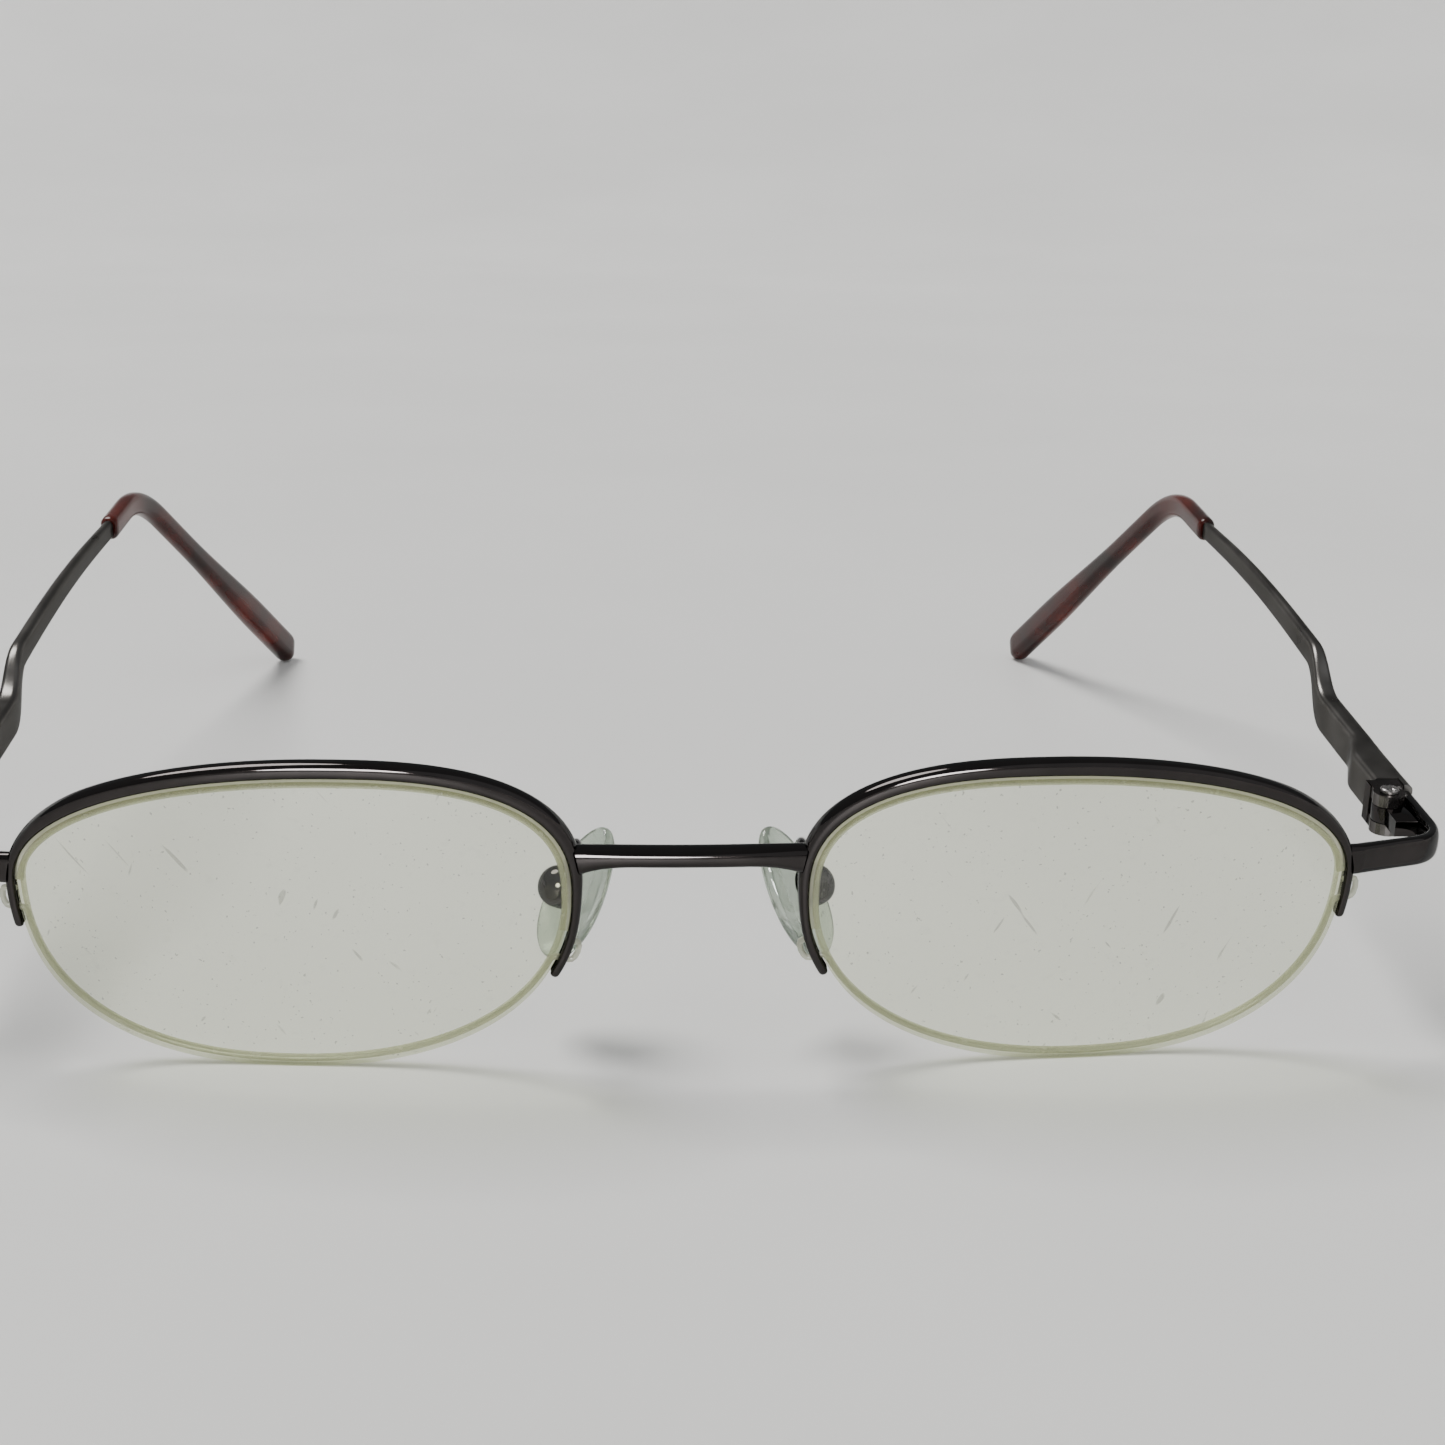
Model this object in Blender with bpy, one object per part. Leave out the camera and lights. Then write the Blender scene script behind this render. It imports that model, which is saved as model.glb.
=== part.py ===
"""Half rim eyeglasses: metal brow rims, lenses hung on nylon cords, nose pads, spring hinged temples.

Worn frame used below: +X to the wearer's left as seen in front view right, +Y to the back, +Z up.
The whole pair is then tipped about X so that it stands on its lenses and its temple tips.
"""
import math

import bmesh
import bpy
import numpy as np
from mathutils import Matrix, Vector

# Driving sizes, metres and degrees.
LENS_WIDTH = 0.0468
LENS_HEIGHT = 0.0283
LENS_THICKNESS = 0.0018
LENS_BASE_RADIUS = 0.120
LENS_WIDEST_RISE = 0.00285
LENS_TOP_SHIFT = -0.00335
LENS_BOTTOM_SHIFT = 0.00165
BRIDGE_GAP = 0.0209
FACE_WRAP = 3.5
PANTO_TILT = 6.5
GROOVE_WIDTH = 0.00070
GROOVE_DEPTH = 0.00056
RIM_TALL = 0.00140
RIM_DEEP = 0.00175
RIM_CLEARANCE = 0.00025
RIM_LEG_TALL = 0.00090
NASAL_LEG_DROP = 0.0045
TEMPORAL_LEG_DROP = 0.0010
LEG_HOLE_SPACING = 0.0018
CORD_DIAMETER = 0.00054
BRIDGE_RISE = 0.0066
BRIDGE_TALL = 0.0017
BRIDGE_DEEP = 0.0023
ENDPIECE_REACH = 0.01075
ENDPIECE_TALL = 0.0027
ENDPIECE_THICK = 0.0013
ENDPIECE_CORNER_BACK = 0.0040
HINGE_INSET = 0.0028
HINGE_SETBACK = 0.0155
HINGE_RISE = 0.0038
BARREL_HEIGHT = 0.0039
HINGE_SCREW_DIAMETER = 0.0011
BOX_LENGTH = 0.0096
BOX_TALL = 0.0039
BOX_THICK = 0.0033
SPRING_BORE = 0.0020
SPRING_WIRE = 0.00034
SPRING_TURNS = 5
BAR_TALL = 0.0038
BAR_THICK = 0.0020
NECK_START = 0.0243
NECK_LENGTH = 0.0050
NECK_STEP = 0.0040
ARM_TALL = 0.0027
ARM_THICK = 0.0014
ARM_LENGTH = 0.0765
ARM_BOW = 0.0008
TIP_STRAIGHT = 0.0135
TIP_DROP_LENGTH = 0.0480
TIP_DROP_ANGLE = 43.5
TIP_INWARD = 0.0125
TIP_TALL = 0.0029
TIP_THICK = 0.0021
TIP_PADDLE = 0.0043
CORE_DIAMETER = 0.0010
PAD_LENGTH = 0.0128
PAD_WIDTH = 0.0073
PAD_THICKNESS = 0.0021
PAD_SPREAD = 0.0098
PAD_SETBACK = 0.0100
PAD_DROP = 0.0014
PAD_FRONTAL_ANGLE = 30.0
PAD_SPLAY_ANGLE = 32.0
CUP_DIAMETER = 0.0038
CUP_DEPTH = 0.0026
PAD_ARM_DIAMETER = 0.0009

# Small running clearance used wherever two pieces meet.
FIT = 0.00005
# Number of stations round one lens.
LENS_STATIONS = 54

# Derived sizes.
HALF_WIDTH = LENS_WIDTH / 2
HALF_HEIGHT = LENS_HEIGHT / 2
LENS_X = BRIDGE_GAP / 2 + HALF_WIDTH
OUTER_X = LENS_X + HALF_WIDTH + ENDPIECE_REACH
HINGE_X = OUTER_X - HINGE_INSET
BARREL_RADIUS = HINGE_INSET - ENDPIECE_THICK - FIT
BUTT_Y = HINGE_SETBACK + BARREL_RADIUS + FIT
TEMPLE_Y = BUTT_Y + FIT
LEAF_TALL = (BARREL_HEIGHT - 4 * FIT) * 0.42
PAD_ROLL = math.radians(PAD_FRONTAL_ANGLE)
PAD_TURN = math.radians(PAD_SPLAY_ANGLE)

# Start from an empty file.
for old in list(bpy.data.objects):
    bpy.data.objects.remove(old, do_unlink=True)

scene = bpy.context.scene
parts = bpy.data.collections.new("eyeglasses")
cutters = bpy.data.collections.new("cutters")
scene.collection.children.link(parts)
scene.collection.children.link(cutters)


def material(name, colour, metallic, roughness, clear=0.0):
    """A plain Principled BSDF material."""
    mat = bpy.data.materials.new(name)
    mat.use_nodes = True
    shader = mat.node_tree.nodes["Principled BSDF"]
    shader.inputs["Base Color"].default_value = (*colour, 1.0)
    shader.inputs["Metallic"].default_value = metallic
    shader.inputs["Roughness"].default_value = roughness
    shader.inputs["Transmission Weight"].default_value = clear
    mat.diffuse_color = (*colour, 1.0)
    return mat


GUNMETAL = material("gunmetal", (0.05, 0.045, 0.048), 0.9, 0.25)
TEMPLE_METAL = material("temple_metal", (0.09, 0.09, 0.095), 0.9, 0.3)
STEEL = material("steel", (0.55, 0.55, 0.56), 1.0, 0.25)
LENS = material("lens", (0.86, 0.90, 0.78), 0.0, 0.03, 0.95)
CORD = material("cord", (0.8, 0.8, 0.78), 0.0, 0.2, 0.7)
LINER = material("liner", (0.7, 0.7, 0.66), 0.0, 0.3, 0.5)
PAD = material("pad", (0.75, 0.8, 0.72), 0.0, 0.15, 0.8)
TORTOISE = material("tortoise", (0.09, 0.02, 0.012), 0.0, 0.2)


def empty(name, location, parent=None):
    """A frame that other pieces hang from."""
    obj = bpy.data.objects.new(name, None)
    obj.empty_display_size = 0.004
    obj.location = location
    obj.parent = parent
    parts.objects.link(obj)
    return obj


def mesh_object(name, verts, faces, mat, pivot=None, collection=None):
    """One closed mesh, its points given in the worn frame and stored about its pivot."""
    base = Vector(pivot.location) if pivot else Vector((0, 0, 0))
    mesh = bpy.data.meshes.new(name)
    mesh.from_pydata([Vector(v) - base for v in verts], [], faces)
    work = bmesh.new()
    work.from_mesh(mesh)
    bmesh.ops.recalc_face_normals(work, faces=work.faces)
    work.to_mesh(mesh)
    work.free()
    if mat:
        mesh.materials.append(mat)
    obj = bpy.data.objects.new(name, mesh)
    (collection or parts).objects.link(obj)
    obj.parent = pivot or ROOT
    return obj


def loft(name, rings, mat, pivot=None, collection=None, start=None, end=None):
    """Skin over rings of equal count. The ends close on a point when one is given."""
    count = len(rings[0])
    verts = [p for ring in rings for p in ring]
    faces = []
    for r in range(len(rings) - 1):
        for i in range(count):
            j = (i + 1) % count
            a = r * count
            b = a + count
            faces.append((a + i, a + j, b + j, b + i))
    last = (len(rings) - 1) * count
    if start is None:
        faces.append(tuple(range(count)))
    else:
        verts.append(start)
        tip = len(verts) - 1
        faces.extend((tip, i, (i + 1) % count) for i in range(count))
    if end is None:
        faces.append(tuple(last + i for i in range(count)))
    else:
        verts.append(end)
        tip = len(verts) - 1
        faces.extend((tip, last + i, last + (i + 1) % count) for i in range(count))
    return mesh_object(name, verts, faces, mat, pivot, collection)


def rounded_path(points, reach, steps):
    """Corner points joined by straight runs and soft corners that start this far from each corner."""
    pts = [Vector(p) for p in points]
    path = [pts[0]]
    for k in range(1, len(pts) - 1):
        before = pts[k - 1] - pts[k]
        after = pts[k + 1] - pts[k]
        cut = min(reach, before.length * 0.48, after.length * 0.48)
        a = pts[k] + before.normalized() * cut
        b = pts[k] + after.normalized() * cut
        for i in range(steps + 1):
            t = i / steps
            path.append(a * (1 - t) ** 2 + pts[k] * 2 * t * (1 - t) + b * t ** 2)
    path.append(pts[-1])
    return path


def along(path, count):
    """Even stations on a path."""
    lengths = [0.0]
    for a, b in zip(path[:-1], path[1:]):
        lengths.append(lengths[-1] + (b - a).length)
    stations = []
    for k in range(count):
        want = lengths[-1] * k / (count - 1)
        i = 1
        while i < len(path) - 1 and lengths[i] < want:
            i += 1
        span = lengths[i] - lengths[i - 1]
        f = (want - lengths[i - 1]) / span if span > 0 else 0.0
        stations.append(path[i - 1].lerp(path[i], min(max(f, 0.0), 1.0)))
    return stations


def tangents(path):
    """Direction of travel at every station."""
    out = []
    for k in range(len(path)):
        a = path[max(k - 1, 0)]
        b = path[min(k + 1, len(path) - 1)]
        out.append((b - a).normalized())
    return out


def tube_rings(path, radii, sides):
    """Round rings carried along a path without twist."""
    dirs = tangents(path)
    seed = Vector((0.31, 0.17, 0.93))
    side = dirs[0].cross(seed).normalized()
    rings = []
    for k, p in enumerate(path):
        side = (side - dirs[k] * side.dot(dirs[k])).normalized()
        other = dirs[k].cross(side)
        ring = []
        for i in range(sides):
            a = 2 * math.pi * i / sides
            ring.append(p + (side * math.cos(a) + other * math.sin(a)) * radii[k])
        rings.append(ring)
    return rings


def bar_section(thick, tall, corner):
    """Rounded bar outline as (across, up) pairs, twelve points."""
    c = min(corner, thick * 0.46, tall * 0.46)
    k = c * 0.29
    x = thick / 2
    z = tall / 2
    return [
        (x, z - c), (x - k, z - k), (x - c, z),
        (c - x, z), (k - x, z - k), (-x, z - c),
        (-x, c - z), (k - x, k - z), (c - x, -z),
        (x - c, -z), (x - k, k - z), (x, c - z),
    ]


def bar_rings(path, sizes):
    """Rounded bar rings that stay upright along a path. Sizes are (thick, tall, corner) per station."""
    rings = []
    for p, d, size in zip(path, tangents(path), sizes):
        across = d.cross(Vector((0, 0, 1))).normalized()
        up = across.cross(d).normalized()
        rings.append([p + across * a + up * u for a, u in bar_section(*size)])
    return rings


def box_object(name, low, high, mat, pivot=None, collection=None):
    """An upright block between two corners."""
    x0, x1 = sorted((low[0], high[0]))
    y0, y1 = sorted((low[1], high[1]))
    z0, z1 = sorted((low[2], high[2]))
    ring = [(x0, y0), (x1, y0), (x1, y1), (x0, y1)]
    rings = [[Vector((x, y, z0)) for x, y in ring], [Vector((x, y, z1)) for x, y in ring]]
    return loft(name, rings, mat, pivot, collection)


def rod_object(name, start, end, radius, sides, mat, pivot=None, collection=None):
    """A straight round rod between two points."""
    path = [Vector(start), Vector(end)]
    return loft(name, tube_rings(path, [radius, radius], sides), mat, pivot, collection)


def use_cutter(target, cutter, operation):
    """Cut from or add to a piece with a hidden shape."""
    cutter.hide_render = True
    cutter.display_type = "WIRE"
    mod = target.modifiers.new(cutter.name, "BOOLEAN")
    mod.operation = operation
    mod.solver = "EXACT"
    mod.object = cutter


def worn(p):
    """From the flat front plane to the worn frame, tipped by the pantoscopic angle."""
    a = math.radians(PANTO_TILT)
    x, y, z = p
    return Vector((x, y * math.cos(a) - z * math.sin(a), y * math.sin(a) + z * math.cos(a)))


def lens_outline():
    """Closed lens outline from the ear side over the top, as even points with their lengths."""
    pts = []
    for i in range(1440):
        t = 2 * math.pi * i / 1440
        c = math.cos(t)
        s = math.sin(t)
        if s >= 0:
            shift = LENS_TOP_SHIFT
            power = 2.0 if c >= 0 else 2.5
            high = HALF_HEIGHT - LENS_WIDEST_RISE
        else:
            shift = LENS_BOTTOM_SHIFT
            power = 2.4 if c >= 0 else 2.25
            high = HALF_HEIGHT + LENS_WIDEST_RISE
        wide = HALF_WIDTH - shift if c >= 0 else HALF_WIDTH + shift
        u = shift + math.copysign(wide * abs(c) ** (2 / power), c)
        w = LENS_WIDEST_RISE + math.copysign(high * abs(s) ** (2 / power), s)
        pts.append((u, w))
    pts.append(pts[0])
    pts = np.array(pts)
    steps = np.hypot(*np.diff(pts, axis=0).T)
    return pts, np.concatenate(([0.0], np.cumsum(steps)))


EDGE_POINTS, EDGE_LENGTHS = lens_outline()
EDGE = float(EDGE_LENGTHS[-1])


def edge_at(s):
    """Lens edge point at a length along the outline."""
    s = s % EDGE
    u = np.interp(s, EDGE_LENGTHS, EDGE_POINTS[:, 0])
    w = np.interp(s, EDGE_LENGTHS, EDGE_POINTS[:, 1])
    return float(u), float(w)


def edge_normal(s):
    """Outward direction in the lens plane."""
    step = 0.0006
    u0, w0 = edge_at(s - step)
    u1, w1 = edge_at(s + step)
    size = math.hypot(u1 - u0, w1 - w0)
    return (w1 - w0) / size, (u0 - u1) / size


def surface_y(u, w):
    """Depth of the curved, wrapped lens middle surface."""
    sag = LENS_BASE_RADIUS - math.sqrt(LENS_BASE_RADIUS ** 2 - u * u - w * w)
    return sag + u * math.tan(math.radians(FACE_WRAP))


def front_point(side, u, w, depth):
    """A worn frame point from lens coordinates."""
    return worn((side * (LENS_X + u), surface_y(u, w) + depth, w))


def rim_point(side, s, r, depth):
    """A worn frame point at an outward distance from the lens edge."""
    u, w = edge_at(s)
    nu, nw = edge_normal(s)
    return front_point(side, u + nu * r, w + nw * r, depth)


def find_station(level, nasal):
    """Length along the outline where the edge passes a height, on the ear or nose side below the middle."""
    best = None
    for i in range(720):
        s = EDGE * i / 720
        u, w = edge_at(s)
        if (u < LENS_BOTTOM_SHIFT) == nasal and w < LENS_WIDEST_RISE:
            miss = abs(w - level)
            if best is None or miss < best[0]:
                best = (miss, s)
    return best[1]


def edge_stations(s0, s1):
    """Both ends and the shared lens stations between them."""
    step = EDGE / LENS_STATIONS
    first = math.ceil((s0 + 0.3 * step) / step)
    inner = []
    while first * step < s1 - 0.3 * step:
        inner.append(first * step)
        first += 1
    return [s0] + inner + [s1]


RIM_START = find_station(-TEMPORAL_LEG_DROP, False) - EDGE
RIM_END = find_station(-NASAL_LEG_DROP, True)
RIM_OUT = RIM_CLEARANCE + RIM_TALL
LEG_OUT = RIM_CLEARANCE + RIM_LEG_TALL
CHANNEL_HALF = GROOVE_WIDTH / 2
CHANNEL_DEEP = 0.29 * RIM_TALL
HOLE_INSET = 0.0013


def rim_out_at(s):
    """Outer distance of the rim, full over the brow and slimmer down the legs."""
    near = min(s - RIM_START, RIM_END - s)
    f = min(max((near - 0.004) / 0.007, 0.0), 1.0)
    f = f * f * (3 - 2 * f)
    return LEG_OUT + (RIM_OUT - LEG_OUT) * f


def rim_section(s, shrink):
    """Rim outline with its inner channel, as (outward, depth) pairs."""
    out = rim_out_at(s)
    half = RIM_DEEP / 2 * (0.72 + 0.28 * (out - RIM_CLEARANCE) / RIM_TALL)
    low = RIM_CLEARANCE
    deep = min(CHANNEL_DEEP, (out - low) * 0.6)
    c = 0.3 * (out - low)
    inner = low + deep
    shape = [
        (low, -CHANNEL_HALF), (inner, -CHANNEL_HALF), (inner, CHANNEL_HALF), (low, CHANNEL_HALF),
        (low, half - 0.3 * c), (low + 0.8 * c, half), (out - c, half), (out - 0.25 * c, half - 0.3 * c),
        (out, half - c), (out, c - half), (out - 0.25 * c, 0.3 * c - half), (out - c, -half),
        (low + 0.8 * c, -half), (low, 0.3 * c - half),
    ]
    mid = (low + out) / 2
    return [(mid + (r - mid) * shrink, d * shrink) for r, d in shape]


def rim(side, tag):
    """Brow rim with two slim legs, a liner channel and two cord holes in each leg."""
    plan = []
    stations = edge_stations(RIM_START, RIM_END)
    soft = 0.00035
    plan.append((RIM_START - soft, 0.55))
    plan.append((RIM_START - 0.5 * soft, 0.85))
    plan.extend((s, 1.0) for s in stations)
    plan.append((RIM_END + 0.5 * soft, 0.85))
    plan.append((RIM_END + soft, 0.55))
    rings = []
    for s, shrink in plan:
        rings.append([rim_point(side, s, r, d) for r, d in rim_section(s, shrink)])
    obj = loft("rim_" + tag, rings, GUNMETAL)
    for k, s in enumerate(hole_stations()):
        a = rim_point(side, s, -0.0002, 0)
        b = rim_point(side, s, LEG_OUT + 0.0006, 0)
        cut = rod_object(f"cord_hole_{k}_{tag}", a, b, CORD_DIAMETER / 2 + 2 * FIT, 8, None, None, cutters)
        use_cutter(obj, cut, "DIFFERENCE")
    return obj


def hole_stations():
    """Cord holes: low and high on the ear side leg, then low and high on the nose side leg."""
    return [
        RIM_START + HOLE_INSET, RIM_START + HOLE_INSET + LEG_HOLE_SPACING,
        RIM_END - HOLE_INSET, RIM_END - HOLE_INSET - LEG_HOLE_SPACING,
    ]


def lens(side, tag):
    """Curved lens with a groove all round its edge."""
    half = LENS_THICKNESS / 2
    groove = GROOVE_WIDTH / 2
    grid = [EDGE * i / LENS_STATIONS for i in range(LENS_STATIONS)]
    bevel = 0.00008

    def ring(scale, inset, depth):
        pts = []
        for s in grid:
            u, w = edge_at(s)
            nu, nw = edge_normal(s)
            u = (u - nu * inset) * scale
            w = (w - nw * inset) * scale
            pts.append(front_point(side, u, w, depth))
        return pts

    rings = [ring(f, bevel, -half) for f in (0.4, 0.75, 1.0)]
    rings.append(ring(1.0, 0, -half + bevel))
    rings.append(ring(1.0, 0, -groove))
    rings.append(ring(1.0, GROOVE_DEPTH, -groove * 0.9))
    rings.append(ring(1.0, GROOVE_DEPTH, groove * 0.9))
    rings.append(ring(1.0, 0, groove))
    rings.append(ring(1.0, 0, half - bevel))
    rings.extend(ring(f, bevel, half) for f in (1.0, 0.75, 0.4))
    front = front_point(side, 0, 0, -half)
    back = front_point(side, 0, 0, half)
    return loft("lens_" + tag, rings, LENS, start=front, end=back)


def cord(side, tag):
    """Nylon cord: in the lens groove below, then out and back through the holes of both legs."""
    radius = CORD_DIAMETER / 2
    seat = -GROOVE_DEPTH + radius + 0.6 * FIT
    low_t, high_t, low_n, high_n = hole_stations()
    loop = LEG_OUT + radius + 0.00022
    inside = RIM_CLEARANCE + 0.00012
    turn = 0.00030

    def leg(low, high):
        toward = 1 if high > low else -1
        run = abs(high - low)
        plan = [
            (low - toward * 2.2 * turn, seat), (low - toward * 0.9 * turn, seat + 0.25 * turn),
            (low - toward * 0.2 * turn, seat + turn), (low, seat + 2.2 * turn),
            (low, loop - 1.4 * turn), (low + toward * 0.3 * turn, loop - 0.55 * turn),
            (low + toward * 1.2 * turn, loop), (low + toward * run / 2, loop + 0.00008),
            (high - toward * 1.2 * turn, loop), (high - toward * 0.3 * turn, loop - 0.55 * turn),
            (high, loop - 1.4 * turn), (high, inside),
        ]
        return plan

    nose_leg = leg(low_n, high_n)
    ear_leg = leg(low_t + EDGE, high_t + EDGE)
    grid = edge_stations(nose_leg[0][0], ear_leg[0][0])[1:-1]
    plan = nose_leg[::-1] + [(s, seat) for s in grid] + ear_leg
    path = [rim_point(side, s, r, 0) for s, r in plan]
    return loft("nylon_cord_" + tag, tube_rings(path, [radius] * len(path), 6), CORD)


def liner(side, tag):
    """Clear strip between the rim channel and the upper lens groove."""
    start = hole_stations()[1] + 0.0010
    end = hole_stations()[3] - 0.0010
    half = CHANNEL_HALF * 0.74
    low = -GROOVE_DEPTH + 2 * FIT
    high = RIM_CLEARANCE + CHANNEL_DEEP - 2 * FIT
    shape = [(low, -half), (high, -half), (high, half), (low, half)]
    rings = []
    for s in edge_stations(start, end):
        rings.append([rim_point(side, s, r, d) for r, d in shape])
    return loft("rim_liner_" + tag, rings, LINER)


def rim_outer_u(w, nasal):
    """Across position of the rim's outer face at a height in the lens plane."""
    best = None
    for i in range(400):
        s = RIM_START + (RIM_END - RIM_START) * i / 399
        u, h = edge_at(s)
        nu, nw = edge_normal(s)
        u += nu * rim_out_at(s)
        h += nw * rim_out_at(s)
        if (u < 0) == nasal and (best is None or abs(h - w) < best[0]):
            best = (abs(h - w), u)
    return best[1]


def bridge():
    """Straight bridge bar that flares downward where it meets each rim."""
    rows = [(-1.0, 1.5), (-0.93, 1.34), (-0.82, 1.15), (-0.6, 1.02), (-0.3, 1.0)]
    rows = rows + [(0.0, 1.0)] + [(-f, k) for f, k in reversed(rows)]
    reach = LENS_X + rim_outer_u(BRIDGE_RISE, True)
    level = surface_y(-HALF_WIDTH, BRIDGE_RISE)
    rings = []
    for f, k in rows:
        tall = BRIDGE_TALL * k
        drop = (tall - BRIDGE_TALL) / 2
        ring = []
        for a, u in bar_section(BRIDGE_DEEP, tall, 0.00055):
            w = BRIDGE_RISE - drop + u
            x = f * reach
            if abs(f) > 0.99:
                x = math.copysign(LENS_X + rim_outer_u(w, True) - FIT, f)
            ring.append(worn((x, level + a - 0.0003 * (1 - f * f), w)))
        rings.append(ring)
    return loft("bridge", rings, GUNMETAL)


def endpiece(side, tag):
    """Bar from the rim round the corner and back to the hinge."""
    w0 = HINGE_RISE + 0.0003
    u0 = rim_outer_u(w0, False)
    start = worn((LENS_X + u0, surface_y(HALF_WIDTH, w0), w0))
    mid_x = OUTER_X - ENDPIECE_THICK / 2
    corner = Vector((mid_x, start.y + ENDPIECE_CORNER_BACK, HINGE_RISE))
    butt = Vector((mid_x, BUTT_Y, HINGE_RISE))
    path = along(rounded_path([start, corner, butt], 0.0032, 8), 17)
    sizes = []
    for k in range(len(path)):
        grow = min(max((4 - k) / 4, 0.0), 1.0)
        sizes.append((ENDPIECE_THICK + 0.0003 * grow, ENDPIECE_TALL, 0.00052))
    rings = bar_rings(path, sizes)
    a = math.radians(PANTO_TILT)
    for p in rings[0]:
        w = p.z * math.cos(a) - p.y * math.sin(a)
        p.x = LENS_X + rim_outer_u(w, False) + FIT
    for p in rings[-1]:
        p.y = BUTT_Y
    rings = [[Vector((side * p.x, p.y, p.z)) for p in ring] for ring in rings]
    return loft("endpiece_" + tag, rings, GUNMETAL)


def knuckle_outline(radius, half, reach, steps):
    """Plan of a hinge knuckle: a round end about the axis with a straight web running to one side."""
    pts = []
    spread = math.asin(min(half / radius, 0.98))
    for i in range(steps + 1):
        a = spread + (2 * math.pi - 2 * spread) * i / steps
        pts.append((math.sin(a) * radius, math.cos(a) * radius))
    pts.append((-half, reach))
    pts.append((half, reach))
    return pts


def slab(name, outline, low, high, mat, pivot, collection):
    """A plan outline raised between two heights."""
    rings = [[Vector((x, y, z)) for x, y in outline] for z in (low, high)]
    return loft(name, rings, mat, pivot, collection)


def hinge_front(side, tag, pivot):
    """Tongue on the end piece: one middle knuckle on a web brazed inside the end piece."""
    hinge = Vector((side * HINGE_X, HINGE_SETBACK, HINGE_RISE))
    outer = BARREL_RADIUS
    web = -0.0042
    start = math.asin(min(0.0006 / outer, 0.9))
    plan = []
    for i in range(17):
        a = (1.5 * math.pi - start) * i / 16
        plan.append((math.cos(a) * outer, math.sin(a) * outer))
    plan.append((-math.sin(start) * outer, web))
    plan.append((outer, web))
    outline = [(hinge.x + side * x, hinge.y + y) for x, y in plan]
    half = LEAF_TALL / 2
    obj = slab("hinge_tongue_" + tag, outline, HINGE_RISE - half, HINGE_RISE + half, GUNMETAL, None, None)
    reach = Vector((0, 0, BARREL_HEIGHT))
    bore = HINGE_SCREW_DIAMETER / 2 + FIT
    cut = rod_object("tongue_bore_" + tag, hinge - reach, hinge + reach, bore, 12, None, None, cutters)
    use_cutter(obj, cut, "DIFFERENCE")
    return obj


def hinge_temple(side, tag, pivot):
    """Fork on the temple: two knuckles, a block in the box notch and a stem that carries the spring."""
    hinge = Vector((side * HINGE_X, HINGE_SETBACK, HINGE_RISE))
    half = BARREL_HEIGHT / 2
    gap = LEAF_TALL / 2 + FIT
    back = BUTT_Y + 0.0016 - HINGE_SETBACK
    plan = knuckle_outline(BARREL_RADIUS, BARREL_RADIUS * 0.8, back - 0.0004, 14)
    outline = [(hinge.x + side * x, hinge.y + y) for x, y in plan]
    name = "hinge_fork_" + tag
    low_x = hinge.x - side * BARREL_RADIUS * 0.85
    high_x = side * (BORE_X + 0.00062)
    lows = (low_x, TEMPLE_Y + FIT, HINGE_RISE - half + 2 * FIT)
    highs = (high_x, HINGE_SETBACK + back, HINGE_RISE + half - 2 * FIT)
    obj = box_object(name, lows, highs, STEEL, pivot)
    top = slab("fork_top_" + tag, outline, HINGE_RISE + gap, HINGE_RISE + half, None, pivot, cutters)
    use_cutter(obj, top, "UNION")
    base = slab("fork_base_" + tag, outline, HINGE_RISE - half, HINGE_RISE - gap, None, pivot, cutters)
    use_cutter(obj, base, "UNION")
    a = Vector((side * BORE_X, HINGE_SETBACK + back - 0.0004, HINGE_RISE))
    b = Vector((side * BORE_X, STEM_END, HINGE_RISE))
    stem = rod_object("fork_stem_" + tag, a, b, STEM_RADIUS, 10, None, pivot, cutters)
    use_cutter(obj, stem, "UNION")
    reach = Vector((0, 0, BARREL_HEIGHT))
    bore = HINGE_SCREW_DIAMETER / 2 + FIT
    cut = rod_object("fork_bore_" + tag, hinge - reach, hinge + reach, bore, 12, None, pivot, cutters)
    use_cutter(obj, cut, "DIFFERENCE")
    return obj


def turned(name, centre, axis, profile, segments, mat, pivot=None):
    """A turned piece. Profile pairs are (radius, height) from one end on the axis to the other."""
    axis = Vector(axis).normalized()
    across = axis.orthogonal().normalized()
    other = axis.cross(across)
    rings = []
    for radius, height in profile[1:-1]:
        ring = []
        for i in range(segments):
            a = 2 * math.pi * i / segments
            ring.append(centre + axis * height + (across * math.cos(a) + other * math.sin(a)) * radius)
        rings.append(ring)
    start = centre + axis * profile[0][1]
    end = centre + axis * profile[-1][1]
    return loft(name, rings, mat, pivot, None, start, end)


def hinge_screw(side, tag, pivot):
    """Slotted screw down the hinge axis."""
    hinge = Vector((side * HINGE_X, HINGE_SETBACK, HINGE_RISE))
    half = BARREL_HEIGHT / 2
    r = HINGE_SCREW_DIAMETER / 2
    head = r * 1.55
    profile = [
        (0, -half - 0.00010), (r * 0.8, -half - 0.00010), (r, -half), (r, half + FIT),
        (head, half + FIT), (head, half + 0.00028), (head * 0.8, half + 0.00042), (0, half + 0.00046),
    ]
    obj = turned("hinge_screw_" + tag, hinge, (0, 0, 1), profile, 14, STEEL, pivot)
    slot = 0.00013
    lows = (hinge.x - slot, hinge.y - 0.002, HINGE_RISE + half + 0.00022)
    highs = (hinge.x + slot, hinge.y + 0.002, HINGE_RISE + half + 0.001)
    cut = box_object("screw_slot_" + tag, lows, highs, None, pivot, cutters)
    use_cutter(obj, cut, "DIFFERENCE")
    return obj


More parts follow.
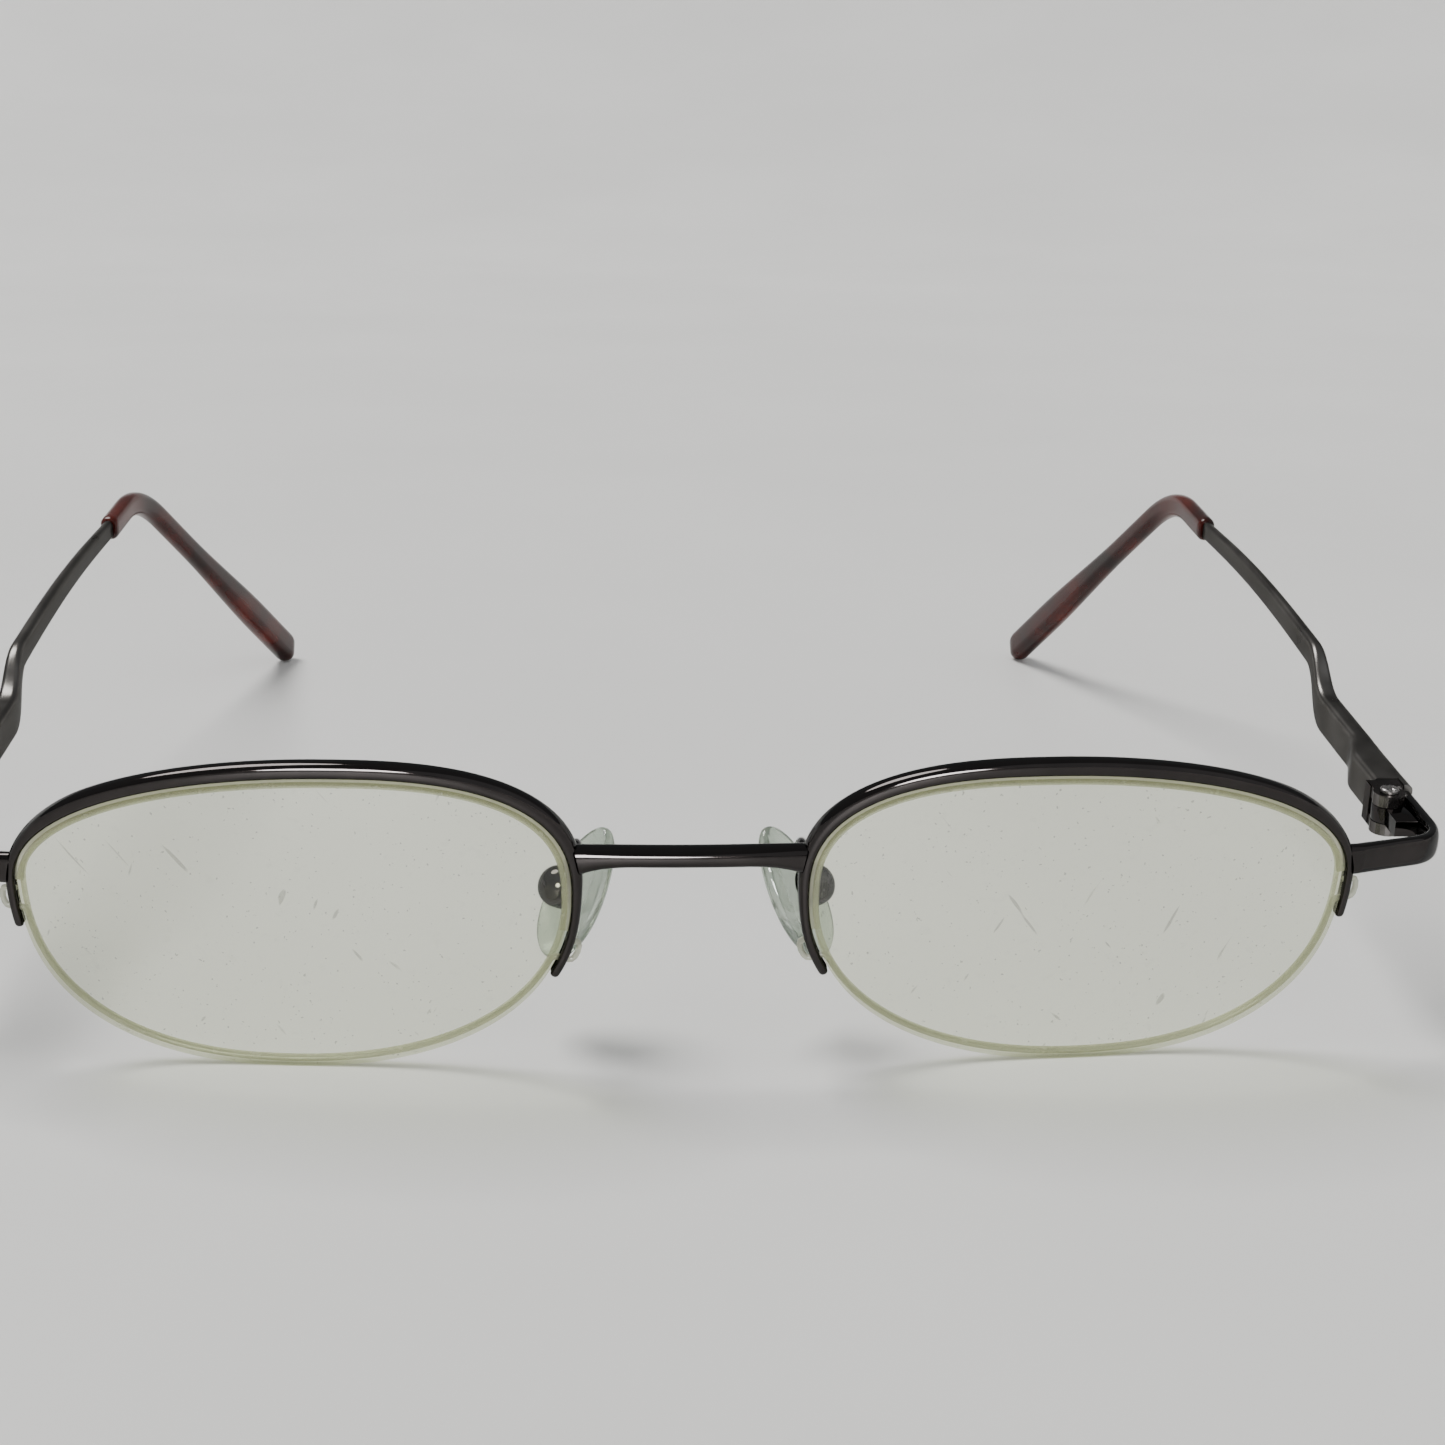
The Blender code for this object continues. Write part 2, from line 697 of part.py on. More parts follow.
# Spring seat inside the temple box.
BORE_X = OUTER_X - 0.45 * BOX_THICK - 0.0001
NOTCH_END = BUTT_Y + 0.0018
BORE_END = TEMPLE_Y + BOX_LENGTH - 0.0009
STEM_RADIUS = SPRING_BORE * 0.22
STOP_START = NOTCH_END + 0.0002
STOP_END = STOP_START + 0.0006
NUT_END = BORE_END - 0.0004
NUT_START = NUT_END - 0.0008
STEM_END = NUT_END + 0.00015
SPRING_TRAVEL = 0.0012
NECK_Y = TEMPLE_Y + NECK_START
ARM_Z = HINGE_RISE + 0.0003 + NECK_STEP
ARM_X = OUTER_X - ARM_THICK / 2 - 0.0001
SLEEVE_Y = TEMPLE_Y + ARM_LENGTH


def tip_path():
    """Middle line of the temple end, from the sleeve mouth round the ear bend to the paddle."""
    start = Vector((ARM_X, SLEEVE_Y, ARM_Z))
    bend = Vector((ARM_X - 0.0008, SLEEVE_Y + TIP_STRAIGHT, ARM_Z + 0.0007))
    fall = math.radians(TIP_DROP_ANGLE)
    run = math.sqrt(max(TIP_DROP_LENGTH ** 2 - TIP_INWARD ** 2, 1e-6))
    end = bend + Vector((-TIP_INWARD, run * math.cos(fall), -run * math.sin(fall)))
    return rounded_path([start, bend, end], 0.0130, 12)


def temple_rows():
    """Temple sections along its length: (y, thick, tall, middle height, corner)."""
    y0 = TEMPLE_Y
    box = y0 + BOX_LENGTH
    lift = 0.0003
    rows = [
        (y0, BOX_THICK, BOX_TALL, 0.0), (box, BOX_THICK, BOX_TALL, 0.0),
        (box + 0.0010, BAR_THICK * 0.5 + BOX_THICK * 0.5, BOX_TALL * 0.5 + BAR_TALL * 0.5, 0.3 * lift),
        (box + 0.0020, BAR_THICK, BAR_TALL, 0.5 * lift),
    ]
    rows.append((NECK_Y, BAR_THICK, BAR_TALL, lift))
    for k in range(1, 6):
        f = k / 6
        g = f * f * (3 - 2 * f)
        tall = BAR_TALL + (ARM_TALL - BAR_TALL) * f
        thick = BAR_THICK + (ARM_THICK - BAR_THICK) * f
        rows.append((NECK_Y + NECK_LENGTH * f, thick, tall, lift + NECK_STEP * g))
    top = lift + NECK_STEP
    for k in range(7):
        f = k / 6
        y = NECK_Y + NECK_LENGTH + (SLEEVE_Y - 2 * FIT - NECK_Y - NECK_LENGTH) * f
        slim = 1 - 0.2 * f
        rows.append((y, ARM_THICK * slim, ARM_TALL * slim, top + ARM_BOW * math.sin(math.pi * f)))
    return rows


def temple(side, tag, pivot):
    """Temple: spring box, bar, stepped neck, slim arm and the core wire that runs inside the tip."""
    rings = []
    for y, thick, tall, rise in temple_rows():
        middle = OUTER_X - thick / 2
        if tall <= ARM_TALL:
            middle = ARM_X
        section = bar_section(thick, tall, 0.00040)
        rings.append([Vector((side * (middle + a), y, HINGE_RISE + rise + u)) for a, u in section])
    line = along(tip_path(), 22)[:14]
    line[0] = line[0] - Vector((0, 2 * FIT, 0))
    core = tube_rings([Vector((side * p.x, p.y, p.z)) for p in line], [CORE_DIAMETER / 2] * 14, 12)
    first = rings[-1]
    centre = sum(first, Vector()) / 12
    start_ring = []
    for p in first:
        out = Vector((p.x - centre.x, 0, p.z - centre.z))
        start_ring.append(centre + out.normalized() * CORE_DIAMETER / 2)
    core = align(start_ring, core)
    obj = loft("temple_" + tag, rings + [start_ring] + core[1:], TEMPLE_METAL, pivot)
    notch_in = side * (OUTER_X - BOX_THICK - 0.001)
    notch_out = side * (BORE_X + 0.00072)
    lows = (notch_in, TEMPLE_Y - 0.001, HINGE_RISE - BOX_TALL)
    highs = (notch_out, NOTCH_END, HINGE_RISE + BOX_TALL)
    cut = box_object("box_notch_" + tag, lows, highs, None, pivot, cutters)
    use_cutter(obj, cut, "DIFFERENCE")
    a = Vector((side * BORE_X, NOTCH_END - 0.0006, HINGE_RISE))
    b = Vector((side * BORE_X, BORE_END, HINGE_RISE))
    hole = rod_object("spring_bore_" + tag, a, b, SPRING_BORE / 2, 14, None, pivot, cutters)
    use_cutter(obj, hole, "DIFFERENCE")
    return obj


def align(first, rings):
    """Turn the numbering of round rings so that they follow the first ring without twist."""
    count = len(first)
    middle = sum(first, Vector()) / count
    base = sum(rings[0], Vector()) / count
    best = None
    for flip in (1, -1):
        for k in range(count):
            order = [(flip * i + k) % count for i in range(count)]
            miss = sum(((rings[0][o] - base) - (first[i] - middle)).length for i, o in enumerate(order))
            if best is None or miss < best[0]:
                best = (miss, order)
    return [[ring[o] for o in best[1]] for ring in rings]


def temple_tip(side, tag, pivot):
    """Moulded tip over the core wire, bent behind the ear, with a paddle end."""
    path = along(tip_path(), 22)
    dirs = tangents(path)
    count = len(path)

    def frame(k):
        d = dirs[k]
        across = (Vector((1, 0, 0)) - d * d.x).normalized()
        return across, across.cross(d)

    def size(f):
        paddle = min(max((f - 0.45) / 0.4, 0.0), 1.0)
        paddle = paddle * paddle * (3 - 2 * paddle)
        tall = TIP_TALL + (TIP_PADDLE - TIP_TALL) * paddle
        thick = TIP_THICK * (1 + 0.3 * paddle)
        return thick, tall

    outer = []
    for k in range(count - 1, -1, -1):
        f = k / (count - 1)
        thick, tall = size(f)
        across, up = frame(k)
        p = path[k]
        ring = [p + across * a + up * u for a, u in bar_section(thick, tall, thick * 0.42)]
        outer.append(ring)
    across, up = frame(count - 1)
    thick, tall = size(1.0)
    ends = []
    for step, shrink in ((0.0022, 0.45), (0.0016, 0.75), (0.0008, 0.93)):
        p = path[-1] + dirs[-1] * step
        section = bar_section(thick * shrink, tall * shrink, thick * shrink * 0.42)
        ends.append([p + across * a + up * u for a, u in section])
    bore_line = path[:15]
    bore = tube_rings(bore_line, [CORE_DIAMETER / 2 + 1.5 * FIT] * len(bore_line), 12)
    bore = align(outer[-1], bore)
    rings = [[Vector((side * p.x, p.y, p.z)) for p in ring] for ring in ends + outer + bore]
    return loft("temple_tip_" + tag, rings, TORTOISE, pivot)


def spring(side, tag, pivot):
    """Coil spring round the fork stem, between the stop and the nut."""
    low = STOP_END + SPRING_WIRE / 2 + FIT
    high = NUT_START - SPRING_WIRE / 2 - FIT
    mean = SPRING_BORE / 2 - SPRING_WIRE / 2 - 2 * FIT
    steps = SPRING_TURNS * 8
    path = []
    for i in range(steps + 1):
        f = i / steps
        a = 2 * math.pi * SPRING_TURNS * f
        x = side * BORE_X + math.cos(a) * mean
        path.append(Vector((x, low + (high - low) * f, HINGE_RISE + math.sin(a) * mean)))
    return loft("hinge_spring_" + tag, tube_rings(path, [SPRING_WIRE / 2] * len(path), 6), STEEL, pivot)


def washer(name, centre, low, high, outer, inner, segments, pivot):
    """A plain ring on the spring axis."""
    rings = []
    for radius, y in ((inner, low), (outer, low), (outer, high), (inner, high)):
        ring = []
        for i in range(segments):
            a = 2 * math.pi * i / segments
            ring.append(Vector((centre + math.cos(a) * radius, y, HINGE_RISE + math.sin(a) * radius)))
        rings.append(ring)
    count = segments
    verts = [p for ring in rings for p in ring]
    faces = []
    for r in range(4):
        for i in range(count):
            j = (i + 1) % count
            a = r * count
            b = ((r + 1) % 4) * count
            faces.append((a + i, a + j, b + j, b + i))
    return mesh_object(name, verts, faces, STEEL, pivot)


def pad_frame(side):
    """Pad middle, its long axis, its width axis and the axis that points away from the nose."""
    middle = Vector((side * PAD_SPREAD, PAD_SETBACK, -PAD_DROP))
    wide = Vector((side * math.sin(PAD_TURN), math.cos(PAD_TURN), 0))
    flat = Vector((side * math.cos(PAD_TURN), -math.sin(PAD_TURN), 0))
    up = Vector((0, 0, 1)) * math.cos(PAD_ROLL) - flat * math.sin(PAD_ROLL)
    away = flat * math.cos(PAD_ROLL) + Vector((0, 0, 1)) * math.sin(PAD_ROLL)
    return middle, up, wide, away


CUP_GAP = 0.0007
CUP_WALL = 0.00042
PAD_BACK = PAD_THICKNESS * 0.36
PIVOT_OUT = PAD_BACK + CUP_GAP + CUP_DEPTH * 0.45


def nose_pad(side, tag, pivot):
    """Clear teardrop pad, domed toward the nose, with a drilled lug that sits in its cup."""
    middle, up, wide, away = pad_frame(side)
    outline = []
    for i in range(24):
        t = 2 * math.pi * i / 24
        taper = 1 - 0.16 * math.sin(t)
        outline.append((math.cos(t) * PAD_WIDTH / 2 * taper, math.sin(t) * PAD_LENGTH / 2))

    def ring(scale, height):
        return [middle + wide * (a * scale) + up * (b * scale) + away * height for a, b in outline]

    dome = PAD_THICKNESS - PAD_BACK
    rings = [ring(f, -dome * (1 - 0.75 * f * f)) for f in (0.45, 0.75, 0.93)]
    rings.append(ring(1.0, -dome * 0.08))
    rings.append(ring(0.985, PAD_BACK * 0.45))
    rings.extend(ring(f, PAD_BACK * (1 - 0.35 * f * f)) for f in (0.9, 0.6))
    front = middle - away * dome
    back = middle + away * PAD_BACK
    obj = loft("nose_pad_" + tag, rings, PAD, pivot, None, front, back)
    half = CUP_DIAMETER * 0.2
    lug_rings = []
    for height in (PAD_BACK * 0.2, PIVOT_OUT + CUP_DEPTH * 0.24):
        base = middle + away * height
        lug = [(half, half), (-half, half), (-half, -half), (half, -half)]
        lug_rings.append([base + wide * a + up * b for a, b in lug])
    lug = loft("pad_lug_" + tag, lug_rings, None, pivot, cutters)
    use_cutter(obj, lug, "UNION")
    centre = middle + away * PIVOT_OUT
    reach = wide * CUP_DIAMETER
    hole = PAD_SCREW_RADIUS + FIT
    cut = rod_object("lug_hole_" + tag, centre - reach, centre + reach, hole, 8, None, pivot, cutters)
    use_cutter(obj, cut, "DIFFERENCE")
    return obj


PAD_SCREW_RADIUS = 0.00035


def pad_cup(side, tag):
    """Round cup that holds the pad lug."""
    middle, up, wide, away = pad_frame(side)
    base = middle + away * (PAD_BACK + CUP_GAP)
    r = CUP_DIAMETER / 2
    inner = r - CUP_WALL
    d = CUP_DEPTH
    floor = d - CUP_WALL
    profile = [
        (0, d), (r * 0.5, d * 0.95), (r * 0.82, d * 0.78), (r * 0.97, d * 0.55), (r, d * 0.35), (r, 0),
        (inner, 0), (inner, floor - 0.23 * d), (inner * 0.6, floor), (0, floor),
    ]
    obj = turned("pad_cup_" + tag, base, away, profile, 16, GUNMETAL)
    centre = middle + away * PIVOT_OUT
    reach = wide * CUP_DIAMETER
    hole = PAD_SCREW_RADIUS + FIT
    cut = rod_object("cup_hole_" + tag, centre - reach, centre + reach, hole, 8, None, None, cutters)
    use_cutter(obj, cut, "DIFFERENCE")
    return obj


def pad_screw(side, tag):
    """Cross pin of the pad: a small screw through cup and lug."""
    middle, up, wide, away = pad_frame(side)
    centre = middle + away * PIVOT_OUT
    r = PAD_SCREW_RADIUS
    half = CUP_DIAMETER / 2
    profile = [
        (0, -half - 0.0004), (r * 1.5, -half - 0.0004), (r * 1.6, -half - FIT), (r, -half - FIT),
        (r, half + 0.0001), (r * 0.7, half + 0.0002), (0, half + 0.0002),
    ]
    return turned("pad_screw_" + tag, centre, wide, profile, 12, STEEL)


def pad_arm(side, tag):
    """Wire arm from the back of the rim, back and down to the top of the cup."""
    middle, up, wide, away = pad_frame(side)
    r = PAD_ARM_DIAMETER / 2
    end = middle + away * (PAD_BACK + CUP_GAP + CUP_DEPTH * 0.2) + up * (CUP_DIAMETER / 2 + FIT)
    s = RIM_END
    while edge_at(s)[1] < BRIDGE_RISE - 0.0012:
        s -= 0.0002
    root = rim_point(side, s, (RIM_CLEARANCE + rim_out_at(s)) / 2 + 0.0001, RIM_DEEP / 2 + 0.4 * FIT)
    back = worn((0, 1, 0))
    points = [root, root + back * 0.0030, end + up * 0.0021 + away * 0.0006, end]
    path = along(rounded_path(points, 0.0020, 6), 16)
    rings = tube_rings(path, [r] * len(path), 8)
    for p in rings[0]:
        p -= back * (p - root).dot(back)
    for p in rings[-1]:
        p -= up * (p - end).dot(up)
    return loft("pad_arm_" + tag, rings, GUNMETAL)


ROOT = empty("eyeglasses_root", (0, 0, 0))
bridge()
for side, tag in ((1, "right"), (-1, "left")):
    hinge_axis = empty("hinge_axis_" + tag, (side * HINGE_X, HINGE_SETBACK, HINGE_RISE), ROOT)
    pad_middle, pad_up, pad_wide, pad_away = pad_frame(side)
    pad_pivot = empty("pad_pivot_" + tag, pad_middle + pad_away * PIVOT_OUT, ROOT)
    rim(side, tag)
    lens(side, tag)
    cord(side, tag)
    liner(side, tag)
    endpiece(side, tag)
    hinge_front(side, tag, hinge_axis)
    hinge_temple(side, tag, hinge_axis)
    hinge_screw(side, tag, hinge_axis)
    temple(side, tag, hinge_axis)
    temple_tip(side, tag, hinge_axis)
    spring(side, tag, hinge_axis)
    stop_r = SPRING_BORE / 2 - 0.4 * FIT
    washer("spring_stop_" + tag, side * BORE_X, STOP_START, STOP_END, stop_r, STEM_RADIUS + FIT, 12, hinge_axis)
    nut_r = SPRING_BORE / 2 - 1.6 * FIT
    washer("spring_nut_" + tag, side * BORE_X, NUT_START, NUT_END, nut_r, STEM_RADIUS + 0.4 * FIT, 12, hinge_axis)
    pad_arm(side, tag)
    pad_cup(side, tag)
    pad_screw(side, tag)
    nose_pad(side, tag, pad_pivot)

# Stand the pair on its lenses and temple tips, with the origin under the middle of its box.
bpy.context.view_layer.update()
graph = bpy.context.evaluated_depsgraph_get()
cloud = []
for obj in parts.objects:
    if obj.type == "MESH":
        shape = obj.evaluated_get(graph).to_mesh()
        cloud.extend(obj.matrix_world @ v.co for v in shape.vertices)
cloud = np.array([tuple(p) for p in cloud])
lean = 0.0
for turn in range(6):
    height = cloud[:, 1] * math.sin(lean) + cloud[:, 2] * math.cos(lean)
    front = cloud[:, 1] < HINGE_SETBACK + 0.03
    a = cloud[front][np.argmin(height[front])]
    b = cloud[~front][np.argmin(height[~front])]
    lean = math.atan2(a[2] - b[2], b[1] - a[1])
spin = Matrix.Rotation(lean, 3, "X")
turned_cloud = cloud @ np.array(spin).T
low = turned_cloud.min(axis=0)
high = turned_cloud.max(axis=0)
ROOT.rotation_euler = (lean, 0, 0)
ROOT.location = (-(low[0] + high[0]) / 2, -(low[1] + high[1]) / 2, -low[2])
bpy.context.view_layer.update()

print("stand tilt deg", round(math.degrees(lean), 3))
print("size mm", [round(float(v) * 1000, 2) for v in high - low])
for obj in parts.objects:
    if obj.type == "EMPTY":
        at = obj.matrix_world.translation
        print(obj.name, [round(v, 6) for v in at])
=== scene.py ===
"""Looks for the half rim eyeglasses: finer skins over the CAD pieces, finishes, camera and light."""
import math

import bmesh
import bpy
import numpy as np
from mathutils import Matrix, Vector


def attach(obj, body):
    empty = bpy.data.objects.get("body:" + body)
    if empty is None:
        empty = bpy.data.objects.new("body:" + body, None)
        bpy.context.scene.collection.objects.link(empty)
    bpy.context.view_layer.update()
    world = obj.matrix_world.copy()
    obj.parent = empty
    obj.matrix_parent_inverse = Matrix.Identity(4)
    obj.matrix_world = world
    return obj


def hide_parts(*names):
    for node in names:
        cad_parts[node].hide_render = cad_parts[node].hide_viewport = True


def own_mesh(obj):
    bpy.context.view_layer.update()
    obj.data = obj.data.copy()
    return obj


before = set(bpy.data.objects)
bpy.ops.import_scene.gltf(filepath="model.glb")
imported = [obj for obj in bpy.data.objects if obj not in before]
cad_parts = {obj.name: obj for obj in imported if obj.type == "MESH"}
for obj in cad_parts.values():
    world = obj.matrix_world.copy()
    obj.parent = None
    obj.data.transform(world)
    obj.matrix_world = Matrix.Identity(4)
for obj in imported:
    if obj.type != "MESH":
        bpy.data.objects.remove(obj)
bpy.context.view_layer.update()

# Driving sizes, metres and degrees.
LENS_WIDTH = 0.0468
LENS_HEIGHT = 0.0283
LENS_THICKNESS = 0.0018
LENS_BASE_RADIUS = 0.120
LENS_WIDEST_RISE = 0.00285
LENS_TOP_SHIFT = -0.00335
LENS_BOTTOM_SHIFT = 0.00165
BRIDGE_GAP = 0.0209
FACE_WRAP = 3.5
PANTO_TILT = 6.5
GROOVE_WIDTH = 0.00070
GROOVE_DEPTH = 0.00056
RIM_TALL = 0.00140
RIM_DEEP = 0.00175
RIM_CLEARANCE = 0.00025
RIM_LEG_TALL = 0.00090
NASAL_LEG_DROP = 0.0045
TEMPORAL_LEG_DROP = 0.0010
LEG_HOLE_SPACING = 0.0018
CORD_DIAMETER = 0.00054
BRIDGE_RISE = 0.0066
BRIDGE_TALL = 0.0017
BRIDGE_DEEP = 0.0023
ENDPIECE_REACH = 0.01075
ENDPIECE_TALL = 0.0027
ENDPIECE_THICK = 0.0013
ENDPIECE_CORNER_BACK = 0.0040
HINGE_INSET = 0.0028
HINGE_SETBACK = 0.0155
HINGE_RISE = 0.0038
BARREL_HEIGHT = 0.0039
HINGE_SCREW_DIAMETER = 0.0011
BOX_LENGTH = 0.0096
BOX_TALL = 0.0039
BOX_THICK = 0.0033
SPRING_BORE = 0.0020
SPRING_WIRE = 0.00034
SPRING_TURNS = 5
BAR_TALL = 0.0038
BAR_THICK = 0.0020
NECK_START = 0.0243
NECK_LENGTH = 0.0050
NECK_STEP = 0.0040
ARM_TALL = 0.0027
ARM_THICK = 0.0014
ARM_LENGTH = 0.0765
ARM_BOW = 0.0008
TIP_STRAIGHT = 0.0135
TIP_DROP_LENGTH = 0.0480
TIP_DROP_ANGLE = 43.5
TIP_INWARD = 0.0125
TIP_TALL = 0.0029
TIP_THICK = 0.0021
TIP_PADDLE = 0.0043
PAD_LENGTH = 0.0128
PAD_WIDTH = 0.0073
PAD_THICKNESS = 0.0021
PAD_SPREAD = 0.0098
PAD_SETBACK = 0.0100
PAD_DROP = 0.0014
PAD_FRONTAL_ANGLE = 30.0
PAD_SPLAY_ANGLE = 32.0
CUP_DIAMETER = 0.0038
CUP_DEPTH = 0.0026
PAD_ARM_DIAMETER = 0.0009

# Small running clearance used wherever two pieces meet.
FIT = 0.00005
# Number of stations round one lens.
LENS_STATIONS = 216
# Points that draw the lens outline, and points tried when looking for a height on it.
OUTLINE_POINTS = 1440
SEARCH_POINTS = 720
# Roundness of the lens quarters: a higher power makes a squarer corner.
TOP_EAR_POWER = 2.0
TOP_NOSE_POWER = 2.5
BOTTOM_EAR_POWER = 2.4
BOTTOM_NOSE_POWER = 2.25
# Crown of each bar: a higher power makes flatter faces.
RIM_CROWN = 2.6
BRIDGE_CROWN = 2.4
ENDPIECE_CROWN = 2.8
# Edges that turn by more than this many degrees stay sharp, unless a piece says otherwise.
SHARP_ANGLE = 35
# Length of the slim rim legs, and of the blend to the full rim.
LEG_SLIM = 0.005
LEG_BLEND = 0.010
# How far the bridge and the end pieces sink into the rim.
ROOT_SINK = 0.00025
# How far the bridge bows forward in its middle.
BRIDGE_BOW = 0.0003
# How much higher than the hinge the end piece's root is set in the lens plane, its extra thickness there, and
# the reach of its corner.
ENDPIECE_LIFT = 0.0003
ENDPIECE_SWELL = 0.0003
CORNER_REACH = 0.0032
# Rise of the temple's middle from box to neck, and how far the arm lies inside the outer face.
BAR_LIFT = 0.0003
ARM_INSET = 0.0001
# Length over which the spring box thins to the bar, and the reach of the smoothing along the temple.
BOX_STEP = 0.0020
SMOOTH_REACH = 0.0019
TEMPLE_RINGS = 200
ARM_TAPER = 0.2
# Corners of the temple section, and the small edge round the box face.
TEMPLE_CORNER = 0.00060
FACE_CORNER = 0.00054
FACE_EDGE = 0.00006
# How far the fork's notch goes outward of the bore's middle, how far its cutter stands past the box,
# and how far into the notch the bore's cutter starts.
NOTCH_REACH = 0.00072
CUT_PAST = 0.001
BORE_OVERLAP = 0.0006
# Reach of the ear bend, and length of the rounded cap that ends a temple tip.
EAR_BEND_REACH = 0.0130
TIP_CAP = 0.0023
# Length of the tongue's web ahead of the hinge screw, and its inner face's distance from the screw's middle.
WEB_REACH = 0.0042
WEB_INNER = 0.0006
# Slot in the hinge screw's head: half its width, its floor above the barrel, and the height above the barrel
# from which points sink to that floor.
SLOT_HALF = 0.00016
SLOT_FLOOR = 0.00024
SLOT_FROM = 0.0003
# How far below the bridge's middle the pad arm starts.
PAD_ROOT_DROP = 0.0012

# Derived sizes.
HALF_WIDTH = LENS_WIDTH / 2
HALF_HEIGHT = LENS_HEIGHT / 2
LENS_X = BRIDGE_GAP / 2 + HALF_WIDTH
OUTER_X = LENS_X + HALF_WIDTH + ENDPIECE_REACH
HINGE_X = OUTER_X - HINGE_INSET
BARREL_RADIUS = HINGE_INSET - ENDPIECE_THICK - FIT
BUTT_Y = HINGE_SETBACK + BARREL_RADIUS + FIT
TEMPLE_Y = BUTT_Y + FIT
LEAF_TALL = (BARREL_HEIGHT - 4 * FIT) * 0.42
PAD_ROLL = math.radians(PAD_FRONTAL_ANGLE)
PAD_TURN = math.radians(PAD_SPLAY_ANGLE)

# Spring seat inside the temple box.
BORE_X = OUTER_X - 0.45 * BOX_THICK - 0.0001
NOTCH_END = BUTT_Y + 0.0018
BORE_END = TEMPLE_Y + BOX_LENGTH - 0.0009
STOP_START = NOTCH_END + 0.0002
STOP_END = STOP_START + 0.0006
NUT_END = BORE_END - 0.0004
NUT_START = NUT_END - 0.0008
NECK_Y = TEMPLE_Y + NECK_START
ARM_Z = HINGE_RISE + BAR_LIFT + NECK_STEP
ARM_X = OUTER_X - ARM_THICK / 2 - ARM_INSET
SLEEVE_Y = TEMPLE_Y + ARM_LENGTH
ARM_END = SLEEVE_Y - 2 * FIT

# The pair stands tipped on its lenses and temple tips.
STAND_TILT = math.radians(4.655)
STAND_SHIFT = (0.0, -0.070642, 0.013861)
STAND = Matrix.Translation(STAND_SHIFT) @ Matrix.Rotation(STAND_TILT, 4, "X")


def ease(f):
    """Soft step from 0 to 1."""
    f = min(max(f, 0.0), 1.0)
    return f * f * (3 - 2 * f)


def standing_mesh(name, verts, faces):
    """A closed mesh moved from the worn frame to the standing pair, with its faces turned outward."""
    mesh = bpy.data.meshes.new(name)
    mesh.from_pydata([STAND @ Vector(v) for v in verts], [], faces)
    work = bmesh.new()
    work.from_mesh(mesh)
    bmesh.ops.recalc_face_normals(work, faces=work.faces)
    work.to_mesh(mesh)
    work.free()
    return mesh


def sided(rings, side):
    """Rings of the right side, or their mirror image."""
    return [[Vector((side * p.x, p.y, p.z)) for p in ring] for ring in rings]


def skin(name, verts, faces, mat, body, sharp=SHARP_ANGLE):
    """Smooth mesh from worn frame points that rides on a body and stands for the CAD node of its name."""
    mesh = standing_mesh("skin_" + name, verts, faces)
    mesh.polygons.foreach_set("use_smooth", [True] * len(mesh.polygons))
    mesh.set_sharp_from_angle(angle=math.radians(sharp))
    mesh.materials.append(mat)
    obj = bpy.data.objects.new("skin_" + name, mesh)
    bpy.context.scene.collection.objects.link(obj)
    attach(obj, body)
    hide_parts(name)
    return obj


def loft(name, rings, mat, body, start=None, end=None, sharp=SHARP_ANGLE):
    """Skin over rings of equal count. The ends close on a point when one is given."""
    count = len(rings[0])
    verts = [p for ring in rings for p in ring]
    faces = []
    for r in range(len(rings) - 1):
        for i in range(count):
            j = (i + 1) % count
            a = r * count
            b = a + count
            faces.append((a + i, a + j, b + j, b + i))
    last = (len(rings) - 1) * count
    for point, first in ((start, 0), (end, last)):
        if point is None:
            faces.append(tuple(range(first, first + count)))
        else:
            verts.append(point)
            tip = len(verts) - 1
            faces.extend((tip, first + i, first + (i + 1) % count) for i in range(count))
    return skin(name, verts, faces, mat, body, sharp)


def carve(obj, verts, faces):
    """Take a closed worn frame shape out of a skin."""
    cut = bpy.data.objects.new("cut", standing_mesh("cut", verts, faces))
    bpy.context.scene.collection.objects.link(cut)
    mod = obj.modifiers.new("cut", "BOOLEAN")
    mod.operation = "DIFFERENCE"
    mod.solver = "EXACT"
    mod.object = cut
    graph = bpy.context.evaluated_depsgraph_get()
    carved = bpy.data.meshes.new_from_object(obj.evaluated_get(graph))
    obj.modifiers.clear()
    obj.data = carved
    carved.set_sharp_from_angle(angle=math.radians(SHARP_ANGLE))
    bpy.data.objects.remove(cut)


def drill(obj, a, b, radius, sides=32):
    """Take a round hole from a to b out of a skin."""
    rings = tube_rings([a, b], [radius, radius], sides)
    verts = rings[0] + rings[1]
    faces = [(i, (i + 1) % sides, sides + (i + 1) % sides, sides + i) for i in range(sides)]
    faces.append(tuple(range(sides)))
    faces.append(tuple(range(sides, 2 * sides)))
    carve(obj, verts, faces)


def rounded_path(points, reach, steps):
    """Corner points joined by straight runs and soft corners that start this far from each corner."""
    pts = [Vector(p) for p in points]
    path = [pts[0]]
    for k in range(1, len(pts) - 1):
        before = pts[k - 1] - pts[k]
        after = pts[k + 1] - pts[k]
        cut = min(reach, before.length * 0.48, after.length * 0.48)
        a = pts[k] + before.normalized() * cut
        b = pts[k] + after.normalized() * cut
        for i in range(steps + 1):
            t = i / steps
            path.append(a * (1 - t) ** 2 + pts[k] * 2 * t * (1 - t) + b * t ** 2)
    path.append(pts[-1])
    return path


